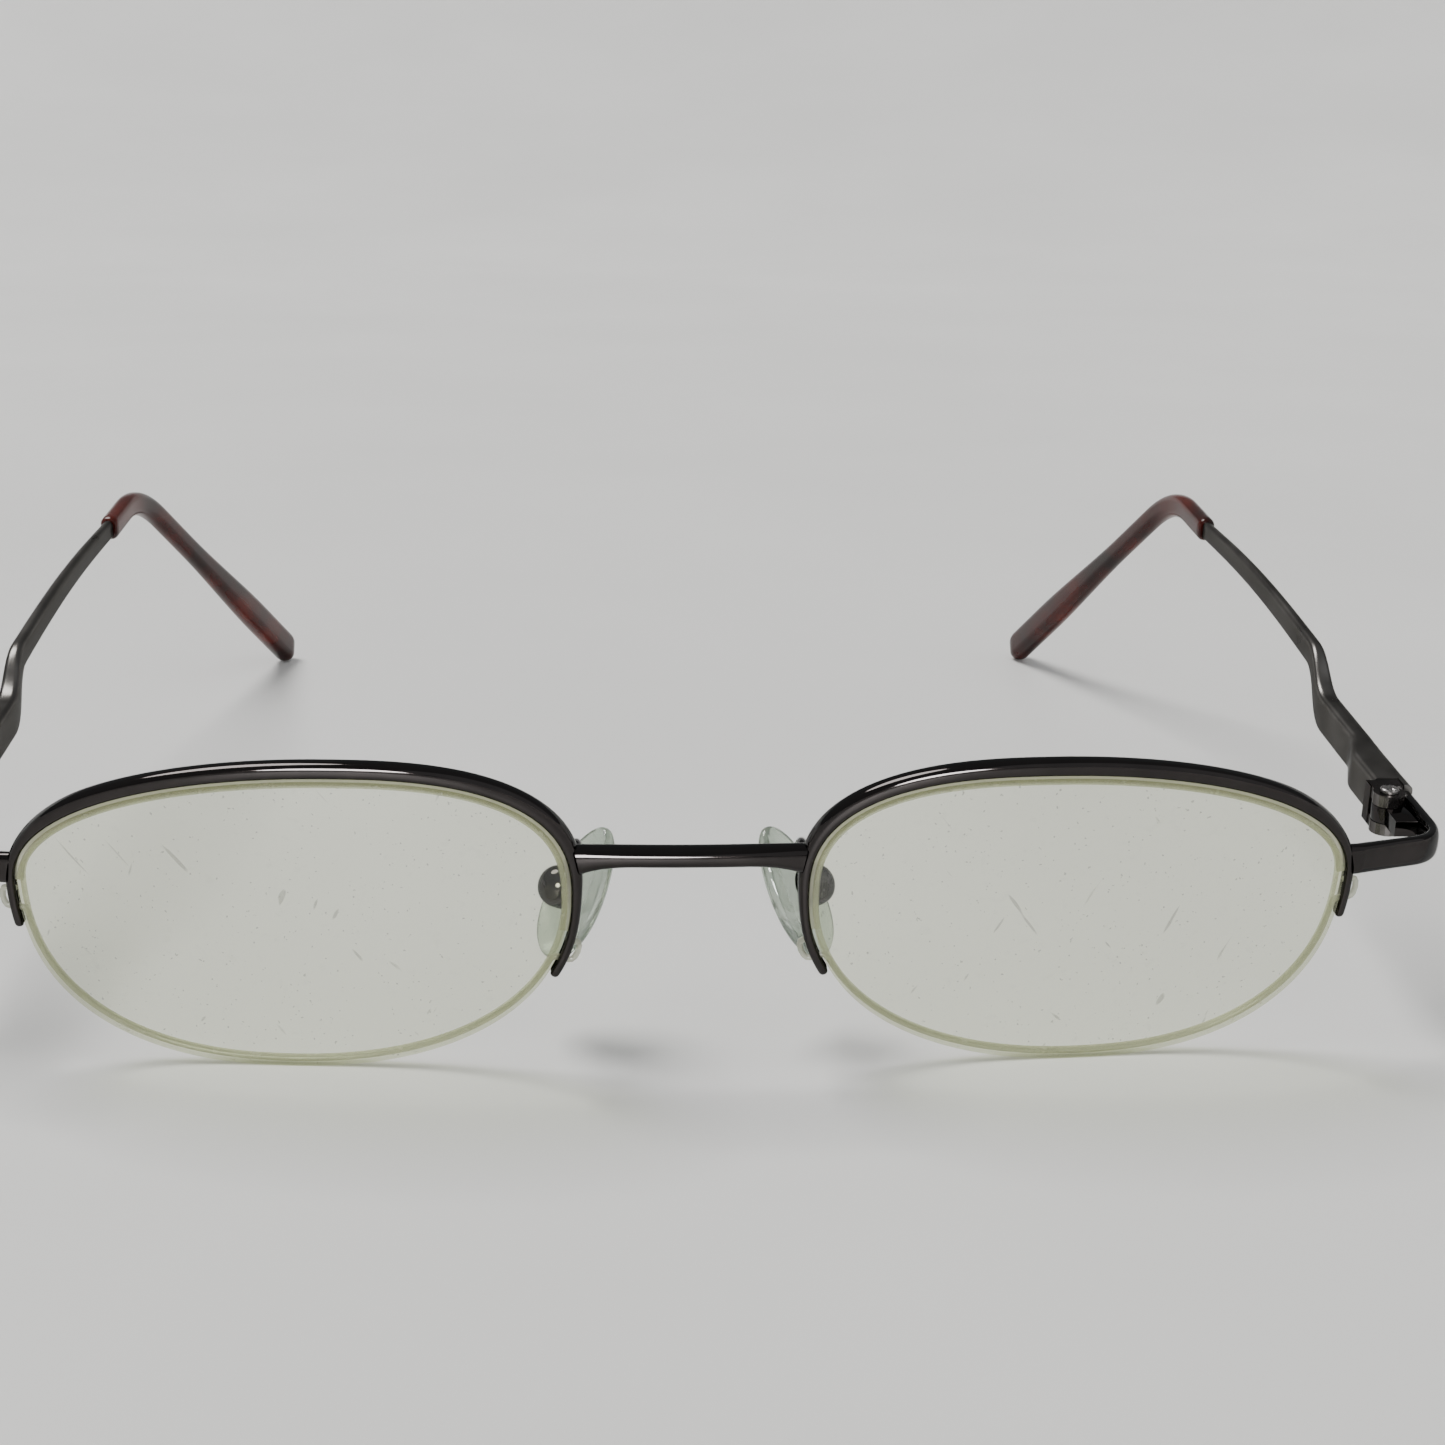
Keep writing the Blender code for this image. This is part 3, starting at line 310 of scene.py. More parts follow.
def along(path, count):
    """Even stations on a path."""
    lengths = [0.0]
    for a, b in zip(path[:-1], path[1:]):
        lengths.append(lengths[-1] + (b - a).length)
    stations = []
    for k in range(count):
        want = lengths[-1] * k / (count - 1)
        i = 1
        while i < len(path) - 1 and lengths[i] < want:
            i += 1
        span = lengths[i] - lengths[i - 1]
        f = (want - lengths[i - 1]) / span if span > 0 else 0.0
        stations.append(path[i - 1].lerp(path[i], min(max(f, 0.0), 1.0)))
    return stations


def tangents(path):
    """Direction of travel at every station."""
    out = []
    for k in range(len(path)):
        a = path[max(k - 1, 0)]
        b = path[min(k + 1, len(path) - 1)]
        out.append((b - a).normalized())
    return out


def tube_rings(path, radii, sides):
    """Round rings carried along a path without twist."""
    dirs = tangents(path)
    seed = Vector((0.31, 0.17, 0.93))
    side = dirs[0].cross(seed).normalized()
    rings = []
    for k, p in enumerate(path):
        side = (side - dirs[k] * side.dot(dirs[k])).normalized()
        other = dirs[k].cross(side)
        ring = []
        for i in range(sides):
            a = 2 * math.pi * i / sides
            ring.append(p + (side * math.cos(a) + other * math.sin(a)) * radii[k])
        rings.append(ring)
    return rings


def bar_section(thick, tall, corner, steps=7):
    """Rounded bar outline as (across, up) pairs."""
    c = min(corner, thick * 0.49, tall * 0.49)
    x = thick / 2 - c
    z = tall / 2 - c
    pts = []
    for turn, sx, sz in ((0, 1, 1), (1, -1, 1), (2, -1, -1), (3, 1, -1)):
        for i in range(steps + 1):
            a = math.pi / 2 * (turn + i / steps)
            pts.append((sx * x + c * math.cos(a), sz * z + c * math.sin(a)))
    return pts


def crowned_section(thick, tall, power, count=56):
    """Bar outline with crowned faces as (across, up) pairs. A higher power makes flatter faces."""
    pts = []
    for i in range(count):
        a = 2 * math.pi * (i + 0.5) / count
        c = math.cos(a)
        s = math.sin(a)
        across = math.copysign(abs(c) ** (2 / power), c) * thick / 2
        pts.append((across, math.copysign(abs(s) ** (2 / power), s) * tall / 2))
    return pts


def bar_rings(path, sizes):
    """Crowned bar rings that stay upright along a path. Sizes are (thick, tall, power) per station."""
    rings = []
    for p, d, size in zip(path, tangents(path), sizes):
        across = d.cross(Vector((0, 0, 1))).normalized()
        up = across.cross(d).normalized()
        rings.append([p + across * a + up * u for a, u in crowned_section(*size)])
    return rings


def worn(p):
    """From the flat front plane to the worn frame, tipped by the pantoscopic angle."""
    a = math.radians(PANTO_TILT)
    x, y, z = p
    return Vector((x, y * math.cos(a) - z * math.sin(a), y * math.sin(a) + z * math.cos(a)))


def lens_outline():
    """Closed lens outline from the ear side over the top, as even points with their lengths."""
    pts = []
    for i in range(OUTLINE_POINTS):
        t = 2 * math.pi * i / OUTLINE_POINTS
        c = math.cos(t)
        s = math.sin(t)
        if s >= 0:
            shift = LENS_TOP_SHIFT
            power = TOP_EAR_POWER if c >= 0 else TOP_NOSE_POWER
            high = HALF_HEIGHT - LENS_WIDEST_RISE
        else:
            shift = LENS_BOTTOM_SHIFT
            power = BOTTOM_EAR_POWER if c >= 0 else BOTTOM_NOSE_POWER
            high = HALF_HEIGHT + LENS_WIDEST_RISE
        wide = HALF_WIDTH - shift if c >= 0 else HALF_WIDTH + shift
        u = shift + math.copysign(wide * abs(c) ** (2 / power), c)
        w = LENS_WIDEST_RISE + math.copysign(high * abs(s) ** (2 / power), s)
        pts.append((u, w))
    pts.append(pts[0])
    pts = np.array(pts)
    steps = np.hypot(*np.diff(pts, axis=0).T)
    return pts, np.concatenate(([0.0], np.cumsum(steps)))


EDGE_POINTS, EDGE_LENGTHS = lens_outline()
EDGE = float(EDGE_LENGTHS[-1])


def edge_at(s):
    """Lens edge point at a length along the outline."""
    s = s % EDGE
    u = np.interp(s, EDGE_LENGTHS, EDGE_POINTS[:, 0])
    w = np.interp(s, EDGE_LENGTHS, EDGE_POINTS[:, 1])
    return float(u), float(w)


def edge_normal(s):
    """Outward direction in the lens plane."""
    step = 0.0006
    u0, w0 = edge_at(s - step)
    u1, w1 = edge_at(s + step)
    size = math.hypot(u1 - u0, w1 - w0)
    return (w1 - w0) / size, (u0 - u1) / size


def surface_y(u, w):
    """Depth of the curved, wrapped lens middle surface."""
    sag = LENS_BASE_RADIUS - math.sqrt(LENS_BASE_RADIUS ** 2 - u * u - w * w)
    return sag + u * math.tan(math.radians(FACE_WRAP))


def front_point(side, u, w, depth):
    """A worn frame point from lens coordinates."""
    return worn((side * (LENS_X + u), surface_y(u, w) + depth, w))


def rim_point(side, s, r, depth):
    """A worn frame point at an outward distance from the lens edge."""
    u, w = edge_at(s)
    nu, nw = edge_normal(s)
    return front_point(side, u + nu * r, w + nw * r, depth)


def find_station(level, nasal):
    """Length along the outline where the edge passes a height, on the ear or nose side below the middle."""
    best = None
    for i in range(SEARCH_POINTS):
        s = EDGE * i / SEARCH_POINTS
        u, w = edge_at(s)
        if (u < LENS_BOTTOM_SHIFT) == nasal and w < LENS_WIDEST_RISE:
            miss = abs(w - level)
            if best is None or miss < best[0]:
                best = (miss, s)
    return best[1]


def edge_stations(s0, s1):
    """Both ends and the shared lens stations between them."""
    step = EDGE / LENS_STATIONS
    first = math.ceil((s0 + 0.3 * step) / step)
    inner = []
    while first * step < s1 - 0.3 * step:
        inner.append(first * step)
        first += 1
    return [s0] + inner + [s1]


RIM_START = find_station(-TEMPORAL_LEG_DROP, False) - EDGE
RIM_END = find_station(-NASAL_LEG_DROP, True)
RIM_OUT = RIM_CLEARANCE + RIM_TALL
LEG_OUT = RIM_CLEARANCE + RIM_LEG_TALL
CHANNEL_HALF = GROOVE_WIDTH / 2
CHANNEL_DEEP = 0.29 * RIM_TALL
HOLE_INSET = 0.0013
CUP_GAP = 0.0007
CUP_WALL = 0.00042
PAD_BACK = PAD_THICKNESS * 0.36
PIVOT_OUT = PAD_BACK + CUP_GAP + CUP_DEPTH * 0.45
PAD_SCREW_RADIUS = 0.00035


def new_material(name):
    """An empty node material with its Principled shader."""
    mat = bpy.data.materials.new(name)
    mat.use_nodes = True
    return mat, mat.node_tree.nodes, mat.node_tree.links, mat.node_tree.nodes["Principled BSDF"]


def noise(nodes, links, scale, detail=4.0, stretch=(1, 1, 1)):
    """Noise in object space."""
    where = nodes.new("ShaderNodeTexCoord")
    mapping = nodes.new("ShaderNodeMapping")
    mapping.inputs["Scale"].default_value = stretch
    tex = nodes.new("ShaderNodeTexNoise")
    tex.inputs["Scale"].default_value = scale
    tex.inputs["Detail"].default_value = detail
    links.new(where.outputs["Object"], mapping.inputs["Vector"])
    links.new(mapping.outputs["Vector"], tex.inputs["Vector"])
    return tex


def ramp(nodes, links, source, stops):
    """A colour ramp on a value."""
    node = nodes.new("ShaderNodeValToRGB")
    while len(node.color_ramp.elements) < len(stops):
        node.color_ramp.elements.new(0.5)
    for element, (pos, colour) in zip(node.color_ramp.elements, stops):
        element.position = pos
        element.color = (*colour, 1.0)
    links.new(source, node.inputs["Fac"])
    return node


def spread(nodes, links, source, low, high):
    """A value moved into a range."""
    node = nodes.new("ShaderNodeMapRange")
    node.inputs["From Min"].default_value = 0.3
    node.inputs["From Max"].default_value = 0.7
    node.inputs["To Min"].default_value = low
    node.inputs["To Max"].default_value = high
    links.new(source, node.inputs["Value"])
    return node


# Grit and scratches on the lenses: noise scales per metre, slants in degrees, and how much they cover.
GRIT_SCALE = 2600.0
GRIT_STOPS = [(0.735, (0.0, 0.0, 0.0)), (0.765, (0.40, 0.40, 0.40))]
SCRATCH_SCALE = 1050.0
SCRATCH_STRETCH = 13.0
SCRATCH_SLANTS = (24.0, -38.0)
SCRATCH_STOPS = [(0.768, (0.0, 0.0, 0.0)), (0.800, (0.42, 0.42, 0.42))]
MARK_COLOUR = (0.16, 0.155, 0.135)


def metal(name, dark, light, rough_low, rough_high, coat, edge):
    """Plated metal with uneven colour and gloss and a fine grain."""
    mat, nodes, links, shader = new_material(name)
    broad = noise(nodes, links, 260.0)
    fine = noise(nodes, links, 5200.0, 3.0)
    tint = ramp(nodes, links, broad.outputs["Fac"], [(0.35, dark), (0.7, light)])
    gloss = spread(nodes, links, broad.outputs["Fac"], rough_low, rough_high)
    bump = nodes.new("ShaderNodeBump")
    bump.inputs["Strength"].default_value = 0.05
    bump.inputs["Distance"].default_value = 0.00002
    links.new(fine.outputs["Fac"], bump.inputs["Height"])
    links.new(bump.outputs["Normal"], shader.inputs["Normal"])
    links.new(tint.outputs["Color"], shader.inputs["Base Color"])
    links.new(gloss.outputs["Result"], shader.inputs["Roughness"])
    shader.inputs["Metallic"].default_value = 1.0
    shader.inputs["Specular Tint"].default_value = (edge, edge, edge, 1.0)
    shader.inputs["Coat Weight"].default_value = coat
    shader.inputs["Coat Roughness"].default_value = 0.05
    return mat


def lens_marks(nodes, links, cover):
    """Sparse grit and a few slanted scratches laid over a dust cover, as one value."""
    grit = noise(nodes, links, GRIT_SCALE, 1.0)
    layers = [ramp(nodes, links, grit.outputs["Fac"], GRIT_STOPS)]
    for slant in SCRATCH_SLANTS:
        stroke = noise(nodes, links, SCRATCH_SCALE, 1.0, (1.0, 1.0, SCRATCH_STRETCH))
        mapping = stroke.inputs["Vector"].links[0].from_node
        mapping.vector_type = "TEXTURE"
        mapping.inputs["Rotation"].default_value = (0.0, math.radians(slant), 0.0)
        layers.append(ramp(nodes, links, stroke.outputs["Fac"], SCRATCH_STOPS))
    value = cover.outputs["Color"]
    for layer in layers:
        larger = nodes.new("ShaderNodeMath")
        larger.operation = "MAXIMUM"
        links.new(value, larger.inputs[0])
        links.new(layer.outputs["Color"], larger.inputs[1])
        value = larger.outputs["Value"]
    return value


def clear(name, tint, dusty, gloss, base, marked=False):
    """Tinted clear plastic with a surface sheen, a little dust and, if marked, grit and scratches."""
    mat, nodes, links, shader = new_material(name)
    specks = noise(nodes, links, 900.0, 6.0)
    dust = [(0.62, (base, base, base)), (0.72, (dusty, dusty, dusty))]
    cover = ramp(nodes, links, specks.outputs["Fac"], dust)
    covered = lens_marks(nodes, links, cover) if marked else cover.outputs["Color"]
    through = nodes.new("ShaderNodeBsdfTransparent")
    through.inputs["Color"].default_value = (*tint, 1.0)
    sheen = nodes.new("ShaderNodeBsdfGlossy")
    sheen.inputs["Roughness"].default_value = gloss
    edge = nodes.new("ShaderNodeFresnel")
    edge.inputs["IOR"].default_value = 1.5
    facing = nodes.new("ShaderNodeNewGeometry")
    outside = nodes.new("ShaderNodeMath")
    outside.operation = "SUBTRACT"
    outside.inputs[0].default_value = 1.0
    links.new(facing.outputs["Backfacing"], outside.inputs[1])
    only = nodes.new("ShaderNodeMath")
    only.operation = "MULTIPLY"
    links.new(edge.outputs["Fac"], only.inputs[0])
    links.new(outside.outputs["Value"], only.inputs[1])
    first = nodes.new("ShaderNodeMixShader")
    links.new(only.outputs["Value"], first.inputs["Fac"])
    links.new(through.outputs["BSDF"], first.inputs[1])
    links.new(sheen.outputs["BSDF"], first.inputs[2])
    second = nodes.new("ShaderNodeMixShader")
    links.new(covered, second.inputs["Fac"])
    links.new(first.outputs["Shader"], second.inputs[1])
    links.new(shader.outputs["BSDF"], second.inputs[2])
    body = (tint[0] * 0.8, tint[1] * 0.8, tint[2] * 0.72)
    shader.inputs["Base Color"].default_value = (*body, 1.0)
    if marked:
        tone = ramp(nodes, links, covered, [(0.08, body), (0.25, MARK_COLOUR)])
        links.new(tone.outputs["Color"], shader.inputs["Base Color"])
    shader.inputs["Roughness"].default_value = 0.3
    out = nodes["Material Output"]
    links.new(second.outputs["Shader"], out.inputs["Surface"])
    return mat


def pad_plastic():
    """Clear, slightly aged soft plastic."""
    mat, nodes, links, shader = new_material("pad_plastic")
    cloud = noise(nodes, links, 420.0)
    tint = ramp(nodes, links, cloud.outputs["Fac"], [(0.3, (0.50, 0.57, 0.49)), (0.75, (0.60, 0.66, 0.58))])
    links.new(tint.outputs["Color"], shader.inputs["Base Color"])
    shader.inputs["Transmission Weight"].default_value = 0.86
    shader.inputs["IOR"].default_value = 1.45
    shader.inputs["Roughness"].default_value = 0.07
    return mat


def tortoise():
    """Dark red brown tortoise plastic in soft blotches."""
    mat, nodes, links, shader = new_material("tortoise_plastic")
    blot = noise(nodes, links, 190.0, 3.0, (1.0, 0.6, 1.0))
    tint = ramp(
        nodes, links, blot.outputs["Fac"],
        [(0.32, (0.010, 0.003, 0.0025)), (0.50, (0.038, 0.0055, 0.004)), (0.70, (0.095, 0.011, 0.006))],
    )
    links.new(tint.outputs["Color"], shader.inputs["Base Color"])
    shader.inputs["Roughness"].default_value = 0.24
    shader.inputs["Specular IOR Level"].default_value = 0.15
    shader.inputs["Coat Weight"].default_value = 0.08
    shader.inputs["Coat Roughness"].default_value = 0.08
    shader.inputs["Transmission Weight"].default_value = 0.04
    return mat


GUNMETAL = metal("frame_gunmetal", (0.014, 0.0112, 0.0108), (0.021, 0.0170, 0.0163), 0.06, 0.11, 0.45, 0.2)
TEMPLE_METAL = metal("temple_gunmetal", (0.110, 0.106, 0.101), (0.138, 0.133, 0.127), 0.27, 0.35, 0.10, 0.3)
STEEL = metal("small_steel", (0.20, 0.19, 0.19), (0.32, 0.31, 0.30), 0.2, 0.35, 0.0, 0.6)
DARK_STEEL = metal("hinge_steel", (0.080, 0.075, 0.073), (0.115, 0.108, 0.105), 0.16, 0.26, 0.2, 0.25)
LENS = clear("lens_clear", (0.942, 0.955, 0.888), 0.05, 0.0, 0.004, True)
LENS_EDGE = clear("lens_edge", (0.82, 0.835, 0.71), 0.4, 0.2, 0.24)
CORD = clear("cord_clear", (0.78, 0.79, 0.72), 0.5, 0.1, 0.42)
LINER = clear("liner_clear", (0.85, 0.85, 0.76), 0.4, 0.2, 0.4)
PAD = pad_plastic()
TORTOISE = tortoise()


def rim_out_at(s):
    """Outer distance of the rim, full over the brow and slimmer down the legs."""
    near = min(s - RIM_START, RIM_END - s)
    return LEG_OUT + (RIM_OUT - LEG_OUT) * ease((near - LEG_SLIM) / LEG_BLEND)


def rim_section(s, shrink):
    """Crowned rim outline with its inner channel, as (outward, depth) pairs."""
    out = rim_out_at(s)
    half = RIM_DEEP / 2 * (0.72 + 0.28 * (out - RIM_CLEARANCE) / RIM_TALL)
    mid = (RIM_CLEARANCE + out) / 2
    wide = (out - RIM_CLEARANCE) / 2
    inner = RIM_CLEARANCE + min(CHANNEL_DEEP, 1.2 * wide)
    lip = math.asin((CHANNEL_HALF / half) ** (RIM_CROWN / 2))
    count = 48
    shape = [(inner, -CHANNEL_HALF), (inner, CHANNEL_HALF)]
    for i in range(count + 1):
        a = lip + (2 * math.pi - 2 * lip) * i / count
        c = math.cos(a)
        d = math.sin(a)
        r = mid - math.copysign(abs(c) ** (2 / RIM_CROWN), c) * wide
        shape.append((r, math.copysign(abs(d) ** (2 / RIM_CROWN), d) * half))
    return [(mid + (r - mid) * shrink, d * shrink) for r, d in shape]


def rim(side, tag):
    """Brow rim with two slim legs."""
    soft = 0.00045
    plan = []
    ends = [(1.0, 0.30), (0.92, 0.55), (0.75, 0.76), (0.5, 0.90), (0.25, 0.97)]
    plan.extend((RIM_START - soft * f, k) for f, k in ends)
    plan.extend((s, 1.0) for s in edge_stations(RIM_START, RIM_END))
    plan.extend((RIM_END + soft * f, k) for f, k in reversed(ends))
    rings = []
    for s, shrink in plan:
        rings.append([rim_point(side, s, r, d) for r, d in rim_section(s, shrink)])
    loft("rim_" + tag, rings, GUNMETAL, "front")


def hole_stations():
    """Cord holes: low and high on the ear side leg, then low and high on the nose side leg."""
    return [
        RIM_START + HOLE_INSET, RIM_START + HOLE_INSET + LEG_HOLE_SPACING,
        RIM_END - HOLE_INSET, RIM_END - HOLE_INSET - LEG_HOLE_SPACING,
    ]


def lens(side, tag):
    """Curved lens with a groove all round its edge, the edge in its own tint."""
    half = LENS_THICKNESS / 2
    groove = GROOVE_WIDTH / 2
    grid = [EDGE * i / LENS_STATIONS for i in range(LENS_STATIONS)]
    bevel = 0.00008

    def ring(scale, inset, depth):
        pts = []
        for s in grid:
            u, w = edge_at(s)
            nu, nw = edge_normal(s)
            u = (u - nu * inset) * scale
            w = (w - nw * inset) * scale
            pts.append(front_point(side, u, w, depth))
        return pts

    scales = (0.1, 0.25, 0.4, 0.55, 0.7, 0.82, 0.92, 0.975, 1.0)
    rings = [ring(f, bevel, -half) for f in scales]
    rings.append(ring(1.0, 0, -half + bevel))
    rings.append(ring(1.0, 0, -groove))
    rings.append(ring(1.0, GROOVE_DEPTH, -groove * 0.9))
    rings.append(ring(1.0, GROOVE_DEPTH, groove * 0.9))
    rings.append(ring(1.0, 0, groove))
    rings.append(ring(1.0, 0, half - bevel))
    rings.extend(ring(f, bevel, half) for f in reversed(scales))
    front = front_point(side, 0, 0, -half)
    back = front_point(side, 0, 0, half)
    obj = loft("lens_" + tag, rings, LENS, "front", front, back)
    obj.data.materials.append(LENS_EDGE)
    edge_bands = 7
    first = (len(scales) - 1) * LENS_STATIONS
    last = first + edge_bands * LENS_STATIONS
    for k, face in enumerate(obj.data.polygons):
        if first <= k < last:
            face.material_index = 1


def cord(side, tag):
    """Nylon cord: in the lens groove below, then out and back through the holes of both legs."""
    radius = CORD_DIAMETER / 2
    seat = -GROOVE_DEPTH + radius + 0.6 * FIT
    low_t, high_t, low_n, high_n = hole_stations()
    loop = LEG_OUT + radius + 0.00022
    inside = RIM_CLEARANCE + 0.00012
    turn = 0.00030

    def leg(low, high):
        toward = 1 if high > low else -1
        run = abs(high - low)
        return [
            (low - toward * 2.2 * turn, seat), (low - toward * 0.9 * turn, seat + 0.25 * turn),
            (low - toward * 0.2 * turn, seat + turn), (low, seat + 2.2 * turn),
            (low, loop - 1.4 * turn), (low + toward * 0.3 * turn, loop - 0.55 * turn),
            (low + toward * 1.2 * turn, loop), (low + toward * run / 2, loop + 0.00008),
            (high - toward * 1.2 * turn, loop), (high - toward * 0.3 * turn, loop - 0.55 * turn),
            (high, loop - 1.4 * turn), (high, inside),
        ]

    nose_leg = leg(low_n, high_n)
    ear_leg = leg(low_t + EDGE, high_t + EDGE)
    grid = edge_stations(nose_leg[0][0], ear_leg[0][0])[1:-1]
    plan = nose_leg[::-1] + [(s, seat) for s in grid] + ear_leg
    path = [rim_point(side, s, r, 0) for s, r in plan]
    loft("nylon_cord_" + tag, tube_rings(path, [radius] * len(path), 12), CORD, "front", None, None, 60)


def liner(side, tag):
    """Clear strip between the rim channel and the upper lens groove."""
    start = hole_stations()[1] + 0.0010
    end = hole_stations()[3] - 0.0010
    half = CHANNEL_HALF * 0.74
    low = -GROOVE_DEPTH + 2 * FIT
    high = RIM_CLEARANCE + CHANNEL_DEEP - 2 * FIT
    shape = [(low, -half), (high, -half), (high, half), (low, half)]
    rings = []
    for s in edge_stations(start, end):
        rings.append([rim_point(side, s, r, d) for r, d in shape])
    loft("rim_liner_" + tag, rings, LINER, "front")


def rim_face_table():
    """Outer rim face as (across, height) points along the rim."""
    pts = []
    for i in range(800):
        s = RIM_START + (RIM_END - RIM_START) * i / 799
        u, h = edge_at(s)
        nu, nw = edge_normal(s)
        pts.append((u + nu * rim_out_at(s), h + nw * rim_out_at(s)))
    return np.array(pts)


RIM_FACE = rim_face_table()


def rim_outer_u(w, nasal):
    """Across position of the rim's outer face at a height in the lens plane."""
    near = RIM_FACE[(RIM_FACE[:, 0] < 0) == nasal]
    return float(near[np.argmin(abs(near[:, 1] - w)), 0])


def bridge():
    """Straight bridge bar that flares downward where it meets each rim."""
    reach = LENS_X + rim_outer_u(BRIDGE_RISE, True)
    level = surface_y(-HALF_WIDTH, BRIDGE_RISE)
    rings = []
    count = 61
    for n in range(count):
        f = -1 + 2 * n / (count - 1)
        k = 1 + 0.5 * max((abs(f) - 0.45) / 0.55, 0.0) ** 2.6
        tall = BRIDGE_TALL * k
        drop = (tall - BRIDGE_TALL) / 2
        ring = []
        for a, u in crowned_section(BRIDGE_DEEP, tall, BRIDGE_CROWN, 64):
            w = BRIDGE_RISE - drop + u
            x = f * reach
            if n in (0, count - 1):
                x = math.copysign(LENS_X + rim_outer_u(w, True) + ROOT_SINK, f)
            ring.append(worn((x, level + a - BRIDGE_BOW * (1 - f * f), w)))
        rings.append(ring)
    loft("bridge", rings, GUNMETAL, "front")


def endpiece(side, tag):
    """Bar from the rim round the corner and back to the hinge."""
    w0 = HINGE_RISE + ENDPIECE_LIFT
    u0 = rim_outer_u(w0, False)
    start = worn((LENS_X + u0, surface_y(HALF_WIDTH, w0), w0))
    mid_x = OUTER_X - ENDPIECE_THICK / 2
    corner = Vector((mid_x, start.y + ENDPIECE_CORNER_BACK, HINGE_RISE))
    butt = Vector((mid_x, BUTT_Y, HINGE_RISE))
    path = along(rounded_path([start, corner, butt], CORNER_REACH, 30), 70)
    sizes = []
    for k in range(len(path)):
        grow = min(max((16 - k) / 16, 0.0), 1.0)
        sizes.append((ENDPIECE_THICK + ENDPIECE_SWELL * grow, ENDPIECE_TALL, ENDPIECE_CROWN))
    rings = bar_rings(path, sizes)
    a = math.radians(PANTO_TILT)
    for p in rings[0]:
        w = p.z * math.cos(a) - p.y * math.sin(a)
        p.x = LENS_X + rim_outer_u(w, False) - ROOT_SINK
    for p in rings[-1]:
        p.y = BUTT_Y
    loft("endpiece_" + tag, sided(rings, side), GUNMETAL, "front")


def turned_rings(centre, axis, profile, segments):
    """Rings of a turned shape. Profile pairs are (radius, height)."""
    axis = Vector(axis).normalized()
    across = axis.orthogonal().normalized()
    other = axis.cross(across)
    rings = []
    for radius, height in profile:
        ring = []
        for i in range(segments):
            a = 2 * math.pi * i / segments
            ring.append(centre + axis * height + (across * math.cos(a) + other * math.sin(a)) * radius)
        rings.append(ring)
    return rings


def tip_path():
    """Middle line of the temple end, from the sleeve mouth round the ear bend to the paddle."""
    start = Vector((ARM_X, SLEEVE_Y, ARM_Z))
    bend = Vector((ARM_X - 0.0008, SLEEVE_Y + TIP_STRAIGHT, ARM_Z + 0.0007))
    fall = math.radians(TIP_DROP_ANGLE)
    run = math.sqrt(max(TIP_DROP_LENGTH ** 2 - TIP_INWARD ** 2, 1e-6))
    end = bend + Vector((-TIP_INWARD, run * math.cos(fall), -run * math.sin(fall)))
    return rounded_path([start, bend, end], EAR_BEND_REACH, 40)


def temple_profile(y):
    """Temple section at a place along its length: thick, tall, rise and middle, before smoothing."""
    box = TEMPLE_Y + BOX_LENGTH
    bar = box + BOX_STEP
    arm = NECK_Y + NECK_LENGTH
    if y < bar:
        g = ease((y - box) / (bar - box))
        thick = BOX_THICK + (BAR_THICK - BOX_THICK) * g
        tall = BOX_TALL + (BAR_TALL - BOX_TALL) * g
        return np.array((thick, tall, 0.5 * BAR_LIFT * g, OUTER_X - thick / 2))
    if y < NECK_Y:
        f = (y - bar) / (NECK_Y - bar)
        return np.array((BAR_THICK, BAR_TALL, 0.5 * BAR_LIFT * (1 + f), OUTER_X - BAR_THICK / 2))
    if y < arm:
        f = (y - NECK_Y) / NECK_LENGTH
        thick = BAR_THICK + (ARM_THICK - BAR_THICK) * f
        tall = BAR_TALL + (ARM_TALL - BAR_TALL) * f
        return np.array((thick, tall, BAR_LIFT + NECK_STEP * ease(f), OUTER_X - thick / 2 - ARM_INSET * f))
    f = (y - arm) / (ARM_END - arm)
    slim = 1 - ARM_TAPER * f
    rise = BAR_LIFT + NECK_STEP + ARM_BOW * math.sin(math.pi * f)
    return np.array((ARM_THICK * slim, ARM_TALL * slim, rise, ARM_X))


def temple_rows():
    """Smoothed temple sections from the box face to the sleeve: (y, thick, tall, rise, middle)."""
    rows = []
    for k in range(TEMPLE_RINGS + 1):
        y = TEMPLE_Y + (ARM_END - TEMPLE_Y) * k / TEMPLE_RINGS
        reach = min(SMOOTH_REACH, 0.5 * (y - TEMPLE_Y), 0.5 * (ARM_END - y))
        size = sum(temple_profile(y + reach * f / 4) for f in range(-4, 5)) / 9
        rows.append((y, *size))
    return rows


